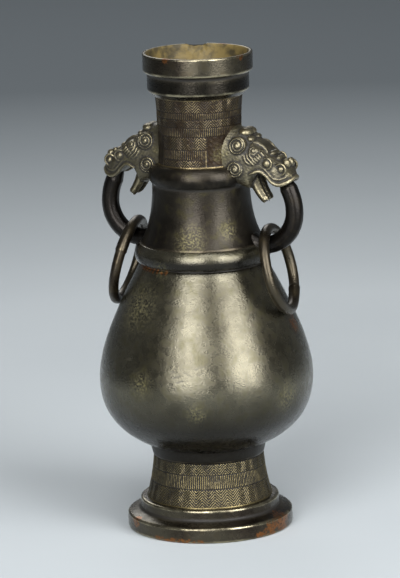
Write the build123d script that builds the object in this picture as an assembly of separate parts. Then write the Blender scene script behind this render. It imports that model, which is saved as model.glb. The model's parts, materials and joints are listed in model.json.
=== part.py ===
from build123d import *
import math
import os

# Bronze hu vessel, in millimetres. The origin is the centre of the base on the table, +Z is up,
# and the two beast-head handles lie along X.

# Heights of the sections, from the table up
BASE_RIM_HEIGHT = 12.0
BASE_SLOPE_HEIGHT = 3.0
BASE_STEP_HEIGHT = 8.0
FOOT_BAND_HEIGHT = 32.7
FOOT_COLLAR_HEIGHT = 8.8
BELLY_HEIGHT = 137.5
LOWER_RIDGE_HEIGHT = 16.0
LOWER_NECK_HEIGHT = 44.0
UPPER_RIDGE_HEIGHT = 15.5
UPPER_NECK_HEIGHT = 50.5
MOUTH_BAND_HEIGHT = 16.5
LIP_HEIGHT = 15.5

# Outer radii of the sections
BASE_RIM_R = 62.2
BASE_STEP_R = 52.3
FOOT_BAND_BOTTOM_R = 47.2
FOOT_BAND_TOP_R = 41.5
FOOT_COLLAR_BOTTOM_R = 42.6
FOOT_COLLAR_TOP_R = 44.0
BELLY_BOTTOM_R = 44.5
BELLY_R = 80.2
BELLY_TOP_R = 47.5
LOWER_RIDGE_R = 51.2
LOWER_NECK_BOTTOM_R = 46.5
LOWER_NECK_TOP_R = 36.4
UPPER_RIDGE_R = 38.8
UPPER_NECK_BOTTOM_R = 32.0
UPPER_NECK_WAIST_R = 31.3
UPPER_NECK_TOP_R = 32.6
MOUTH_BAND_R = 37.9
LIP_R = 40.9

# Bow of the belly: height of its widest ring and the pulls that round it off
BELLY_WIDEST_RISE = 51.5
BELLY_BOTTOM_SLOPE = 0.45
BELLY_BOTTOM_PULL = 28.0
BELLY_LOWER_PULL = 22.0
BELLY_UPPER_PULL = 24.0
BELLY_TOP_SLOPE = 0.53
BELLY_TOP_PULL = 26.0

# Curves of the neck and foot, and tapers under the two bands of the mouth
NECK_FLARE_SPREAD = 3.1
NECK_FLARE_LOW_PULL = 10.1
NECK_FLARE_HIGH_PULL = 17.2
UPPER_RIDGE_CREST_RISE = 7.3
FOOT_WAIST_DEPTH = 0.9
MOUTH_TAPER_HEIGHT = 4.2
LIP_TAPER_HEIGHT = 1.9

# Walls, bores and the fit of one section in the next
BODY_WALL = 4.0
NECK_BORE_R = 27.8
LIP_WALL = 3.2
TENON_WALL = 2.5
TENON_LENGTH = 8.0
NECK_TENON_WALL = 3.0
LOWER_SOCKET_WALL = 5.6
SEAM_FIT = 0.15
TENON_END_GAP = 0.5

# Bottom of the vessel
FLOOR_THICKNESS = 5.5
APERTURE_R = 33.0
COLLAR_LIP_HEIGHT = 2.0
COLLAR_LIP_WALL = 3.8
FLOOR_PLATE_THICKNESS = 3.0
FOOT_WALL = 4.2
STANDING_FACE_WIDTH = 6.5
EDGE_ROUND = 1.4

# Beast heads. Reach is counted from the vessel's axis, rise from the top of the upper ridge.
# Each row of the skull holds reach, rise of its underside, rise of its top, width and corner round.
SKULL_ROWS = (
    (27.0, -21.0, 21.0, 31.0, 9.0),
    (36.0, -22.5, 23.0, 35.0, 10.0),
    (45.0, -17.0, 21.5, 33.5, 10.0),
    (53.0, -8.5, 16.0, 31.0, 9.5),
    (61.0, -9.5, 9.6, 27.5, 7.5),
    (69.0, -13.2, 6.4, 25.0, 7.0),
    (76.0, -12.0, 1.0, 20.0, 5.0),
    (80.0, -10.0, -6.0, 13.0, 1.8),
)
# Line of the upper lip from the corner of the mouth to the tip of the snout: reach, half width, rise.
LIP_LINE = (
    (49.0, 15.4, -5.5),
    (63.0, 13.4, -10.4),
    (75.5, 9.6, -12.4),
)
SNOUT_TIP_REACH = 80.3
SNOUT_TIP_RISE = -8.2
LIP_BAND_R = 1.5
JAW_REACH = 46.0
JAW_RISE = -15.0
JAW_SLOPE = 34.0
# Rows of the lower jaw: distance along it, width and thickness.
JAW_ROWS = ((0.0, 18.0, 11.0), (19.5, 14.5, 6.0))
JAW_CORNER_SHARE = 0.4
# Round bosses on each cheek: reach, half width at the outer face, rise and radius.
UPPER_SPIRAL = (39.0, 18.2, 14.0, 6.6)
LOWER_SPIRAL = (37.5, 18.6, -4.0, 6.6)
EYE = (60.0, 16.0, 2.5, 3.4)
NOSTRIL = (72.0, 14.0, -2.0, 3.8)
BOSS_DEPTH = 6.0
HORN_SEAT = (43.5, 7.5, 22.0)
HORN_R = 4.2
HEAD_SEAT_GAP = 0.15
RIVET_R = 3.2
RIVET_HEAD_R = 6.0
RIVET_HEAD_THICKNESS = 2.0
RIVET_GRIP = 13.0
RIVET_RISE = 12.5

# Handle bars and rings
BAR_R = 7.0
BAR_REACH = 75.5
BAR_CROWN_R = 38.0
BAR_CURL_R = 26.0
BAR_DROP = 34.5
BAR_CROWN_ANGLE = 45.0
BAR_CURL_ANGLE = 118.0
BAR_TENON_R = 2.4
BAR_TENON_RISE = 3.2
BAR_TENON_LENGTH = 7.0
RING_R = 30.5
RING_TUBE_R = 4.5
RING_SEAT_X = 54.0
RING_YAW = 9.0
RING_GAP = 0.3

# Levels where one section ends and the next begins
Z_STEP = BASE_RIM_HEIGHT + BASE_SLOPE_HEIGHT
Z_FOOT = Z_STEP + BASE_STEP_HEIGHT
Z_COLLAR = Z_FOOT + FOOT_BAND_HEIGHT
Z_BELLY = Z_COLLAR + FOOT_COLLAR_HEIGHT
Z_WIDEST = Z_BELLY + BELLY_WIDEST_RISE
Z_LOWER_RIDGE = Z_BELLY + BELLY_HEIGHT
Z_LOWER_NECK = Z_LOWER_RIDGE + LOWER_RIDGE_HEIGHT
Z_UPPER_RIDGE = Z_LOWER_NECK + LOWER_NECK_HEIGHT
Z_UPPER_NECK = Z_UPPER_RIDGE + UPPER_RIDGE_HEIGHT
Z_MOUTH = Z_UPPER_NECK + UPPER_NECK_HEIGHT
Z_LIP = Z_MOUTH + MOUTH_BAND_HEIGHT
Z_TOP = Z_LIP + LIP_HEIGHT

# Radii that two sections share
NECK_TENON_R = NECK_BORE_R + TENON_WALL
LOWER_TENON_R = LOWER_NECK_BOTTOM_R - LOWER_SOCKET_WALL
FOOT_TENON_R = FOOT_BAND_TOP_R - FOOT_WALL
BASE_SPIGOT_R = FOOT_BAND_BOTTOM_R - FOOT_WALL


def rz(radius, height):
    """Point of a turned profile: distance from the axis and height."""
    return Vector(radius, 0, height)


def chain(*points):
    """Straight runs through points given as (radius, height)."""
    return Polyline(*[rz(*point) for point in points])


def turned(*runs):
    """Solid turned about the vessel's axis from a closed chain of runs."""
    edges = [edge for run in runs for edge in run.edges()]
    return revolve(make_face(edges), Axis.Z)


def outer_round(radius, height):
    """Quarter round on the outer top edge of a band."""
    cut = EDGE_ROUND * (1 - math.sqrt(0.5))
    return ThreePointArc(
        rz(radius, height - EDGE_ROUND), rz(radius - cut, height - cut), rz(radius - EDGE_ROUND, height)
    )


def belly_side(inset, floor):
    """Lower and upper bow of the belly, moved in by a wall and up by a floor."""
    bottom = (BELLY_BOTTOM_R - inset, Z_BELLY + floor)
    widest = (BELLY_R - inset, Z_WIDEST)
    top = (BELLY_TOP_R - inset, Z_LOWER_RIDGE)
    lower = Bezier(
        rz(*bottom),
        rz(bottom[0] + BELLY_BOTTOM_PULL, bottom[1] + BELLY_BOTTOM_PULL * BELLY_BOTTOM_SLOPE),
        rz(widest[0], widest[1] - BELLY_LOWER_PULL),
        rz(*widest),
    )
    upper = Bezier(
        rz(*widest),
        rz(widest[0], widest[1] + BELLY_UPPER_PULL),
        rz(top[0] + BELLY_TOP_PULL * BELLY_TOP_SLOPE, top[1] - BELLY_TOP_PULL),
        rz(*top),
    )
    return lower, upper


def lower_bead(grow=0.0):
    """Half-round ridge where the belly meets the neck."""
    return ThreePointArc(
        rz(BELLY_TOP_R + grow, Z_LOWER_RIDGE),
        rz(LOWER_RIDGE_R + grow, Z_LOWER_RIDGE + LOWER_RIDGE_HEIGHT / 2),
        rz(LOWER_NECK_BOTTOM_R + grow, Z_LOWER_NECK),
    )


def neck_flare(grow=0.0):
    """Hollow flare of the plain neck, upright above and wide at its foot."""
    return Bezier(
        rz(LOWER_NECK_BOTTOM_R + grow, Z_LOWER_NECK),
        rz(LOWER_NECK_TOP_R + NECK_FLARE_SPREAD + grow, Z_LOWER_NECK + NECK_FLARE_LOW_PULL),
        rz(LOWER_NECK_TOP_R + grow, Z_UPPER_RIDGE - NECK_FLARE_HIGH_PULL),
        rz(LOWER_NECK_TOP_R + grow, Z_UPPER_RIDGE),
    )


def upper_bead(grow=0.0):
    """Ridge at the top of the plain neck, falling in to the patterned neck."""
    return ThreePointArc(
        rz(LOWER_NECK_TOP_R + grow, Z_UPPER_RIDGE),
        rz(UPPER_RIDGE_R + grow, Z_UPPER_RIDGE + UPPER_RIDGE_CREST_RISE),
        rz(UPPER_NECK_BOTTOM_R + EDGE_ROUND + grow, Z_UPPER_NECK),
    )


def upper_neck_side(grow=0.0):
    """Slightly waisted side of the patterned neck."""
    return ThreePointArc(
        rz(UPPER_NECK_BOTTOM_R + grow, Z_UPPER_NECK),
        rz(UPPER_NECK_WAIST_R + grow, Z_UPPER_NECK + UPPER_NECK_HEIGHT / 2),
        rz(UPPER_NECK_TOP_R + grow, Z_MOUTH),
    )


def foot_side(inset=0.0):
    """Hollow flare of the patterned foot."""
    middle = (FOOT_BAND_TOP_R + FOOT_BAND_BOTTOM_R) / 2 - FOOT_WAIST_DEPTH
    return ThreePointArc(
        rz(FOOT_BAND_BOTTOM_R - inset, Z_FOOT),
        rz(middle - inset, Z_FOOT + FOOT_BAND_HEIGHT / 2),
        rz(FOOT_BAND_TOP_R - inset, Z_COLLAR),
    )


def make_mouth_rim():
    """Two stepped bands with a flared mouth, socketed over the neck's tenon."""
    socket_r = NECK_TENON_R + SEAM_FIT
    ledge = Z_MOUTH + TENON_LENGTH + TENON_END_GAP
    throat = Z_LIP - TENON_LENGTH / 2
    inner_lip = (LIP_R - LIP_WALL, Z_TOP - EDGE_ROUND / 2)
    outside = chain(
        (socket_r, Z_MOUTH),
        (UPPER_NECK_TOP_R + EDGE_ROUND / 2, Z_MOUTH),
        (MOUTH_BAND_R - EDGE_ROUND / 2, Z_MOUTH + MOUTH_TAPER_HEIGHT - EDGE_ROUND / 2),
        (MOUTH_BAND_R, Z_MOUTH + MOUTH_TAPER_HEIGHT),
        (MOUTH_BAND_R, Z_LIP),
        (LIP_R - EDGE_ROUND / 2, Z_LIP + LIP_TAPER_HEIGHT - EDGE_ROUND / 2),
        (LIP_R, Z_LIP + LIP_TAPER_HEIGHT),
        (LIP_R, Z_TOP - EDGE_ROUND),
    )
    lip_top = chain((LIP_R - EDGE_ROUND, Z_TOP), (inner_lip[0] + EDGE_ROUND / 2, Z_TOP), inner_lip)
    flare = Bezier(
        rz(*inner_lip),
        rz(inner_lip[0] - EDGE_ROUND / 2, throat),
        rz(NECK_BORE_R, throat),
        rz(NECK_BORE_R, ledge),
    )
    socket = chain((NECK_BORE_R, ledge), (socket_r, ledge), (socket_r, Z_MOUTH))
    return turned(outside, outer_round(LIP_R, Z_TOP), lip_top, flare, socket)


def make_upper_neck():
    """Patterned sleeve with a tenon at each end and a hole for each head's rivet."""
    bottom = Z_UPPER_NECK - TENON_LENGTH
    top = Z_MOUTH + TENON_LENGTH
    sleeve = turned(
        chain(
            (UPPER_NECK_BOTTOM_R, Z_UPPER_NECK),
            (NECK_TENON_R, Z_UPPER_NECK),
            (NECK_TENON_R, bottom),
            (NECK_BORE_R, bottom),
            (NECK_BORE_R, top),
            (NECK_TENON_R, top),
            (NECK_TENON_R, Z_MOUTH),
            (UPPER_NECK_TOP_R, Z_MOUTH),
        ),
        upper_neck_side(),
    )
    return sleeve - cross_bore(RIVET_R + SEAM_FIT, Z_UPPER_NECK + RIVET_RISE, 2 * LIP_R)


def cross_bore(radius, height, length):
    """Round bar along X through the axis, used to drill both sides at once."""
    return Pos(0, 0, height) * Rot(0, 90, 0) * Cylinder(radius, length)


def make_lower_neck():
    """Plain flared neck with the upper ridge, a socket above and a tenon below."""
    socket_r = NECK_TENON_R + SEAM_FIT
    ledge = Z_UPPER_NECK - TENON_LENGTH - TENON_END_GAP
    bottom = Z_LOWER_NECK - TENON_LENGTH
    inside_top = LOWER_NECK_TOP_R - BODY_WALL
    inside_bottom = LOWER_TENON_R - NECK_TENON_WALL
    shell = turned(
        neck_flare(),
        upper_bead(),
        chain(
            (UPPER_NECK_BOTTOM_R + EDGE_ROUND, Z_UPPER_NECK),
            (socket_r, Z_UPPER_NECK),
            (socket_r, ledge),
            (NECK_BORE_R, ledge),
            (inside_top, Z_UPPER_RIDGE - TENON_LENGTH),
            (inside_bottom, Z_LOWER_NECK + TENON_LENGTH),
            (inside_bottom, bottom),
            (LOWER_TENON_R, bottom),
            (LOWER_TENON_R, Z_LOWER_NECK),
            (LOWER_NECK_BOTTOM_R, Z_LOWER_NECK),
        ),
    )
    return shell - cross_bore(BAR_TENON_R + SEAM_FIT, Z_LOWER_NECK + BAR_TENON_RISE, 2 * BELLY_R)


def make_belly():
    """Pear-shaped body with the lower ridge, a neck socket and a bottom aperture."""
    socket_r = LOWER_TENON_R + SEAM_FIT
    ledge = Z_LOWER_NECK - TENON_LENGTH - TENON_END_GAP
    outer_lower, outer_upper = belly_side(0.0, 0.0)
    inner_lower, inner_upper = belly_side(BODY_WALL, FLOOR_THICKNESS)
    return turned(
        chain((APERTURE_R, Z_BELLY), (BELLY_BOTTOM_R, Z_BELLY)),
        outer_lower,
        outer_upper,
        lower_bead(),
        chain(
            (LOWER_NECK_BOTTOM_R, Z_LOWER_NECK),
            (socket_r, Z_LOWER_NECK),
            (socket_r, ledge),
            (BELLY_TOP_R - BODY_WALL, Z_LOWER_RIDGE),
        ),
        inner_upper,
        inner_lower,
        chain(
            (BELLY_BOTTOM_R - BODY_WALL, Z_BELLY + FLOOR_THICKNESS),
            (APERTURE_R, Z_BELLY + FLOOR_THICKNESS),
            (APERTURE_R, Z_BELLY),
        ),
    )


def make_floor_plate():
    """Disc that closes the belly, seated on the collar's lip inside the aperture."""
    height = Z_BELLY + COLLAR_LIP_HEIGHT + FLOOR_PLATE_THICKNESS / 2
    return Pos(0, 0, height) * Cylinder(APERTURE_R - SEAM_FIT, FLOOR_PLATE_THICKNESS)


def make_foot_collar():
    """Plain band under the belly: a lip enters the aperture, a spigot enters the foot."""
    lip_r = APERTURE_R - SEAM_FIT
    bore_r = lip_r - COLLAR_LIP_WALL
    spigot_r = FOOT_TENON_R - SEAM_FIT
    return turned(
        chain(
            (bore_r, Z_BELLY + COLLAR_LIP_HEIGHT),
            (lip_r, Z_BELLY + COLLAR_LIP_HEIGHT),
            (lip_r, Z_BELLY),
            (FOOT_COLLAR_TOP_R, Z_BELLY),
            (FOOT_COLLAR_BOTTOM_R, Z_COLLAR + EDGE_ROUND / 2),
            (FOOT_COLLAR_BOTTOM_R - EDGE_ROUND / 2, Z_COLLAR),
            (spigot_r, Z_COLLAR),
            (spigot_r, Z_COLLAR - TENON_LENGTH),
            (bore_r, Z_COLLAR - TENON_LENGTH),
            (bore_r, Z_BELLY + COLLAR_LIP_HEIGHT),
        )
    )


def make_foot_band():
    """Patterned, hollow foot that flares down to the base."""
    return turned(
        foot_side(),
        chain(
            (FOOT_BAND_TOP_R, Z_COLLAR),
            (FOOT_TENON_R, Z_COLLAR),
            (FOOT_TENON_R, Z_COLLAR - TENON_LENGTH - TENON_END_GAP),
            (BASE_SPIGOT_R, Z_FOOT + TENON_LENGTH),
            (BASE_SPIGOT_R, Z_FOOT),
            (FOOT_BAND_BOTTOM_R, Z_FOOT),
        ),
    )


def make_foot_base():
    """Stepped base, hollow below, with a spigot that enters the foot."""
    spigot_r = BASE_SPIGOT_R - SEAM_FIT
    bore_r = spigot_r - TENON_WALL
    inner_r = BASE_RIM_R - EDGE_ROUND / 2 - STANDING_FACE_WIDTH
    slope = Bezier(
        rz(BASE_RIM_R - EDGE_ROUND, BASE_RIM_HEIGHT),
        rz(BASE_STEP_R + EDGE_ROUND, Z_STEP - EDGE_ROUND),
        rz(BASE_STEP_R, Z_STEP),
    )
    return turned(
        chain(
            (inner_r, 0.0),
            (BASE_RIM_R - EDGE_ROUND / 2, 0.0),
            (BASE_RIM_R, EDGE_ROUND / 2),
            (BASE_RIM_R, BASE_RIM_HEIGHT - EDGE_ROUND),
        ),
        outer_round(BASE_RIM_R, BASE_RIM_HEIGHT),
        slope,
        chain((BASE_STEP_R, Z_STEP), (BASE_STEP_R, Z_FOOT - EDGE_ROUND)),
        outer_round(BASE_STEP_R, Z_FOOT),
        chain(
            (BASE_STEP_R - EDGE_ROUND, Z_FOOT),
            (spigot_r, Z_FOOT),
            (spigot_r, Z_FOOT + TENON_LENGTH - TENON_END_GAP),
            (bore_r, Z_FOOT + TENON_LENGTH - TENON_END_GAP),
            (bore_r, Z_FOOT - FOOT_WALL),
            (inner_r, BASE_RIM_HEIGHT - FOOT_WALL),
            (inner_r, 0.0),
        ),
    )


def neck_envelope(grow):
    """Filled outer shape of neck and ridges, grown by a gap, to seat the handles on."""
    return turned(
        chain((0.0, Z_LOWER_RIDGE), (BELLY_TOP_R + grow, Z_LOWER_RIDGE)),
        lower_bead(grow),
        neck_flare(grow),
        upper_bead(grow),
        chain(
            (UPPER_NECK_BOTTOM_R + EDGE_ROUND + grow, Z_UPPER_NECK),
            (UPPER_NECK_BOTTOM_R + grow, Z_UPPER_NECK),
        ),
        upper_neck_side(grow),
        chain((UPPER_NECK_TOP_R + grow, Z_MOUTH), (0.0, Z_MOUTH), (0.0, Z_LOWER_RIDGE)),
    )


def head_section(reach, low, high, width, corner):
    """Rounded cross-section of the head at a distance from the neck's axis."""
    centre = Z_UPPER_NECK + (low + high) / 2
    plane = Plane(origin=(reach, 0, centre), x_dir=(0, 1, 0), z_dir=(1, 0, 0))
    return plane * RectangleRounded(width, high - low, corner)


def bar_path():
    """Centre line of the handle bar: a crown arc out of the mouth, then a curl to the neck."""
    level = Z_UPPER_NECK - BAR_DROP
    crown = math.radians(BAR_CROWN_ANGLE)
    curl = math.radians(BAR_CURL_ANGLE)
    crown_x = BAR_REACH - BAR_CROWN_R
    curl_x = BAR_REACH - BAR_CURL_R
    outermost = Vector(BAR_REACH, 0, level)
    start = Vector(crown_x + BAR_CROWN_R * math.cos(crown), 0, level + BAR_CROWN_R * math.sin(crown))
    middle = Vector(
        crown_x + BAR_CROWN_R * math.cos(crown / 2), 0, level + BAR_CROWN_R * math.sin(crown / 2)
    )
    low = Vector(curl_x + BAR_CURL_R * math.cos(curl / 2), 0, level - BAR_CURL_R * math.sin(curl / 2))
    end = Vector(curl_x + BAR_CURL_R * math.cos(curl), 0, level - BAR_CURL_R * math.sin(curl))
    return Wire([Edge.make_three_point_arc(start, middle, outermost),
                 Edge.make_three_point_arc(outermost, low, end)])


def bar_solid(radius):
    """Round bar along the handle's centre line."""
    path = bar_path()
    plane = Plane(origin=path @ 0, z_dir=path % 0)
    return sweep(plane * Circle(radius), path=path)


def head_point(reach, aside, rise):
    """Point of the right head from its reach, its offset along Y and its rise over the ridge."""
    return Vector(reach, aside, Z_UPPER_NECK + rise)


def make_skull():
    """Skull and snout, lofted through the rounded sections of the table."""
    return loft([head_section(*row) for row in SKULL_ROWS])


def make_jaw():
    """Lower jaw, a tapering flap that hangs behind the bar."""
    slope = math.radians(JAW_SLOPE)
    root = head_point(JAW_REACH, 0, JAW_RISE)
    line = Vector(math.sin(slope), 0, -math.cos(slope))
    sections = []
    for along, width, thickness in JAW_ROWS:
        plane = Plane(origin=root + line * along, x_dir=(0, 1, 0), z_dir=line)
        sections.append(plane * RectangleRounded(width, thickness, JAW_CORNER_SHARE * thickness))
    return loft(sections)


def make_lip_band():
    """Raised band along the upper lip, round the snout from one corner of the mouth to the other."""
    near = [head_point(reach, -aside, rise) for reach, aside, rise in LIP_LINE]
    far = [head_point(reach, aside, rise) for reach, aside, rise in reversed(LIP_LINE)]
    path = Spline(near + [head_point(SNOUT_TIP_REACH, 0, SNOUT_TIP_RISE)] + far)
    return sweep(Plane(origin=path @ 0, z_dir=path % 0) * Circle(LIP_BAND_R), path=path)


def make_beast_head(envelope):
    """Head on the right of the neck: skull, jaw, lip band, spiral bosses, eyes, nostrils and horns."""
    head = make_skull() + make_jaw() + make_lip_band()
    horn_reach, horn_aside, horn_rise = HORN_SEAT
    for side in (-1, 1):
        for reach, aside, rise, radius in (UPPER_SPIRAL, LOWER_SPIRAL, EYE, NOSTRIL):
            boss = Cylinder(radius, BOSS_DEPTH, align=(Align.CENTER, Align.CENTER, Align.MAX))
            head += Pos(*head_point(reach, side * aside, rise)) * Rot(-90 * side, 0, 0) * boss
        head += Pos(*head_point(horn_reach, side * horn_aside, horn_rise)) * Sphere(HORN_R)
    head -= envelope
    head -= bar_solid(BAR_R + SEAM_FIT)
    depth = UPPER_NECK_BOTTOM_R + RIVET_GRIP + TENON_END_GAP
    drill = Pos(0, 0, Z_UPPER_NECK + RIVET_RISE) * Rot(0, 90, 0)
    return head - drill * Cylinder(RIVET_R + SEAM_FIT, depth, align=(Align.CENTER, Align.CENTER, Align.MIN))


def make_handle_loop(envelope):
    """Handle bar from the beast's mouth, curled back to the neck and tenoned through its wall."""
    bar = bar_solid(BAR_R) - envelope
    level = Z_LOWER_NECK + BAR_TENON_RISE
    inner_end = LOWER_NECK_BOTTOM_R - BAR_TENON_LENGTH
    tenon_length = BAR_REACH - BAR_CURL_R - inner_end
    tenon = Pos(inner_end, 0, level) * Rot(0, 90, 0) * Cylinder(
        BAR_TENON_R, tenon_length, align=(Align.CENTER, Align.CENTER, Align.MIN)
    )
    return bar + tenon


def make_head_rivet():
    """Rivet from inside the neck, through its wall, into the back of the head."""
    level = Z_UPPER_NECK + RIVET_RISE
    start = NECK_BORE_R - RIVET_HEAD_THICKNESS
    place = Pos(start, 0, level) * Rot(0, 90, 0)
    low = (Align.CENTER, Align.CENTER, Align.MIN)
    head = place * Cylinder(RIVET_HEAD_R, RIVET_HEAD_THICKNESS, align=low)
    head = head & Pos(0, 0, level) * Cylinder(NECK_BORE_R, 3 * RIVET_HEAD_R)
    return head + place * Cylinder(RIVET_R, UPPER_NECK_BOTTOM_R + RIVET_GRIP - start, align=low)


def ring_seat():
    """Centre of the ring's tube where it rests on the inside of the bar's curl."""
    level = Z_UPPER_NECK - BAR_DROP
    hollow_r = BAR_CURL_R - BAR_R
    offset = RING_SEAT_X - (BAR_REACH - BAR_CURL_R)
    saddle = level - math.sqrt(hollow_r**2 - offset**2)
    return Vector(RING_SEAT_X, 0, saddle + RING_TUBE_R + RING_GAP)


def ring_lines(lean, yaw):
    """Directions of a hanging ring: down through its middle, and along its tube on the bar."""
    turn = math.radians(yaw)
    outward = Vector(math.cos(turn), math.sin(turn), 0)
    down = outward * math.sin(lean) - Vector(0, 0, math.cos(lean))
    return down, Vector(-math.sin(turn), math.cos(turn), 0)


def ring_lean():
    """Lean at which the ring's foot comes to rest on the belly."""
    samples = 80
    _, upper = belly_side(0.0, 0.0)
    wall = [upper @ (step / samples) for step in range(samples + 1)]

    def clearance(lean):
        down, tube = ring_lines(lean, RING_YAW)
        nearest = math.inf
        for step in range(samples):
            turn = 2 * math.pi * step / samples
            place = ring_seat() + down * (RING_R * (1 - math.cos(turn))) + tube * (RING_R * math.sin(turn))
            out = math.hypot(place.X, place.Y)
            gap = min(math.hypot(out - point.X, place.Z - point.Z) for point in wall)
            nearest = min(nearest, gap)
        return nearest

    wanted = RING_TUBE_R + RING_GAP
    far = math.radians(60)
    near = far
    while clearance(near) > wanted:
        far = near
        near -= math.radians(1)
    for _ in range(12):
        middle = (near + far) / 2
        if clearance(middle) > wanted:
            far = middle
        else:
            near = middle
    return far


def make_ring(lean, yaw):
    """Loose ring, hung over the bar, turned a little about the vertical and leaning on the belly."""
    down, tube = ring_lines(lean, yaw)
    return Plane(origin=ring_seat() + down * RING_R, z_dir=down.cross(tube)) * Torus(RING_R, RING_TUBE_R)


handle_seat = neck_envelope(HEAD_SEAT_GAP)
lean_of_ring = ring_lean()

pieces = {
    "mouth_rim": make_mouth_rim(),
    "upper_neck": make_upper_neck(),
    "lower_neck": make_lower_neck(),
    "belly": make_belly(),
    "floor_plate": make_floor_plate(),
    "foot_collar": make_foot_collar(),
    "foot_band": make_foot_band(),
    "foot_base": make_foot_base(),
}
paired = {
    "beast_head": make_beast_head(handle_seat),
    "handle_loop": make_handle_loop(handle_seat),
    "head_rivet": make_head_rivet(),
}
for name, piece in paired.items():
    pieces["right_" + name] = piece
    pieces["left_" + name] = mirror(piece, about=Plane.YZ)
pieces["right_ring"] = make_ring(lean_of_ring, RING_YAW)
pieces["left_ring"] = mirror(make_ring(lean_of_ring, -RING_YAW), about=Plane.YZ)

os.makedirs("parts", exist_ok=True)
for name, piece in pieces.items():
    export_step(piece, f"parts/{name}.step")

print("height", Z_TOP, "ring hinge", ring_seat(), "lean", math.degrees(lean_of_ring))
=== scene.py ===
# %% [markdown]
# # A bronze hu vessel
# This lesson dresses the solid model of an old bronze wine vase: a turned body in sections, two beast-head
# handles and two loose rings. The solids are the fixed frame. Everything that shows is worked out here as
# surfaces with numpy and laid over that frame, so each piece keeps the place that the solids give it.

# %% Load the frame
import json
import bmesh
import bpy
import numpy as np
from mathutils import Matrix, Vector


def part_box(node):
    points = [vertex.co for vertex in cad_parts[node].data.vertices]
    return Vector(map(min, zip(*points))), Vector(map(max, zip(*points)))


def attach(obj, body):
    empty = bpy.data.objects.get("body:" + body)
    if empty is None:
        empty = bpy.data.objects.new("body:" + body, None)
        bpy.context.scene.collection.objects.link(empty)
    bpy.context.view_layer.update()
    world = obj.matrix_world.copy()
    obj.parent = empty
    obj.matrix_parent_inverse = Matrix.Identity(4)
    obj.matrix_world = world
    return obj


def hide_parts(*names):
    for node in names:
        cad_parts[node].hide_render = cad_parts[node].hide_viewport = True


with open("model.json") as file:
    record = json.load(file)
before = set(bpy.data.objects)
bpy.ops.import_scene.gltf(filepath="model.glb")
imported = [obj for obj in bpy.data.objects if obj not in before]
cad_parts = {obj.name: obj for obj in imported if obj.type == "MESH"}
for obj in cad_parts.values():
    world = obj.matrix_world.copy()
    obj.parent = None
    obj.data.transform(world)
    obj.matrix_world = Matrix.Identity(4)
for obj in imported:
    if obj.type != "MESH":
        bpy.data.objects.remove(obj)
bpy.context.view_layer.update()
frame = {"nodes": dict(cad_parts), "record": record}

# %% [markdown]
# ## Sizes read from the frame
# A maker of such a vase works in millimetres, so the lesson does too, and turns to metres only when a mesh
# is stored. Levels and radii come from the boxes of the solids: when the frame changes, the dress follows.

# %% Levels and radii
MM = 0.001


def span(node, axis, end):
    """Low or high edge of a solid's box along an axis, in millimetres."""
    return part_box(node)[end][axis] / MM


Z_FOOT = span("foot_band", 2, 0)
Z_COLLAR = span("foot_band", 2, 1)
Z_BELLY = span("belly", 2, 0)
Z_LOWER_NECK = span("belly", 2, 1)
Z_UPPER_NECK = span("lower_neck", 2, 1)
Z_MOUTH = span("mouth_rim", 2, 0)
Z_TOP = span("mouth_rim", 2, 1)
BASE_R = span("foot_base", 0, 1)
FOOT_R = span("foot_band", 0, 1)
COLLAR_R = span("foot_collar", 0, 1)
BELLY_R = span("belly", 0, 1)
FLARE_R = span("lower_neck", 0, 1)
NECK_R = span("upper_neck", 0, 1)
LIP_R = span("mouth_rim", 0, 1)
print("belly radius", round(BELLY_R, 2), "mouth radius", round(LIP_R, 2), "top", round(Z_TOP, 2))

# %% [markdown]
# ## Camera
# The photograph looks down a little on the vase from its front right, with a long lens. The camera stands
# three metres off at that bearing, so that parallel lines hardly converge, and rolls by the small lean that
# the old vase shows in the picture.

# %% Camera
PHOTO_WIDTH, PHOTO_HEIGHT = 400, 578
VIEW_BEARING = 25.4
VIEW_ELEVATION = 12.4
VIEW_ROLL = -1.66
VIEW_DISTANCE = 3000.0
FOCAL_PIXELS = 4014.8
AIM_HEIGHT = 180.0
AIM_PIXEL = (204.04, 289.26)
SENSOR_WIDTH = 36.0
# Nearest and farthest distance that the camera sees, in metres.
NEAREST, FARTHEST = 0.1, 50.0

bearing, elevation, roll = np.radians([VIEW_BEARING, VIEW_ELEVATION, VIEW_ROLL])
back = np.array([
    np.sin(bearing) * np.cos(elevation), -np.cos(bearing) * np.cos(elevation), np.sin(elevation),
])
level_right = np.array([np.cos(bearing), np.sin(bearing), 0.0])
level_up = np.cross(back, level_right)
right = np.cos(roll) * level_right + np.sin(roll) * level_up
up = np.cross(back, right)
pixel_size = VIEW_DISTANCE / FOCAL_PIXELS
aside = (PHOTO_WIDTH / 2 - AIM_PIXEL[0]) * pixel_size
above = (AIM_PIXEL[1] - PHOTO_HEIGHT / 2) * pixel_size
eye = np.array([0.0, 0.0, AIM_HEIGHT]) + back * VIEW_DISTANCE + right * aside + up * above

camera_data = bpy.data.cameras.new("camera")
camera = bpy.data.objects.new("camera", camera_data)
bpy.context.scene.collection.objects.link(camera)
camera_data.sensor_width = SENSOR_WIDTH
camera_data.lens = FOCAL_PIXELS / PHOTO_HEIGHT * SENSOR_WIDTH
camera_data.clip_start, camera_data.clip_end = NEAREST, FARTHEST
placing = np.eye(4)
placing[:3, 0], placing[:3, 1], placing[:3, 2], placing[:3, 3] = right, up, back, eye * MM
camera.matrix_world = Matrix(placing.tolist())
bpy.context.scene.camera = camera
print("camera at", np.round(eye * MM, 3), "lens", round(camera_data.lens, 1))

# %% [markdown]
# ## Grids and meshes
# Almost every piece here is a sheet of points with rows and columns, like a knitted sock: the last column is
# joined to the first, and for a solid ring of metal the last row is too. Numpy works out all points at once,
# and foreach_set hands them to Blender in one go.

# %% Mesh helpers
# Points closer together than this, in metres, are one point.
POLE_REACH = 1e-6


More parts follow.
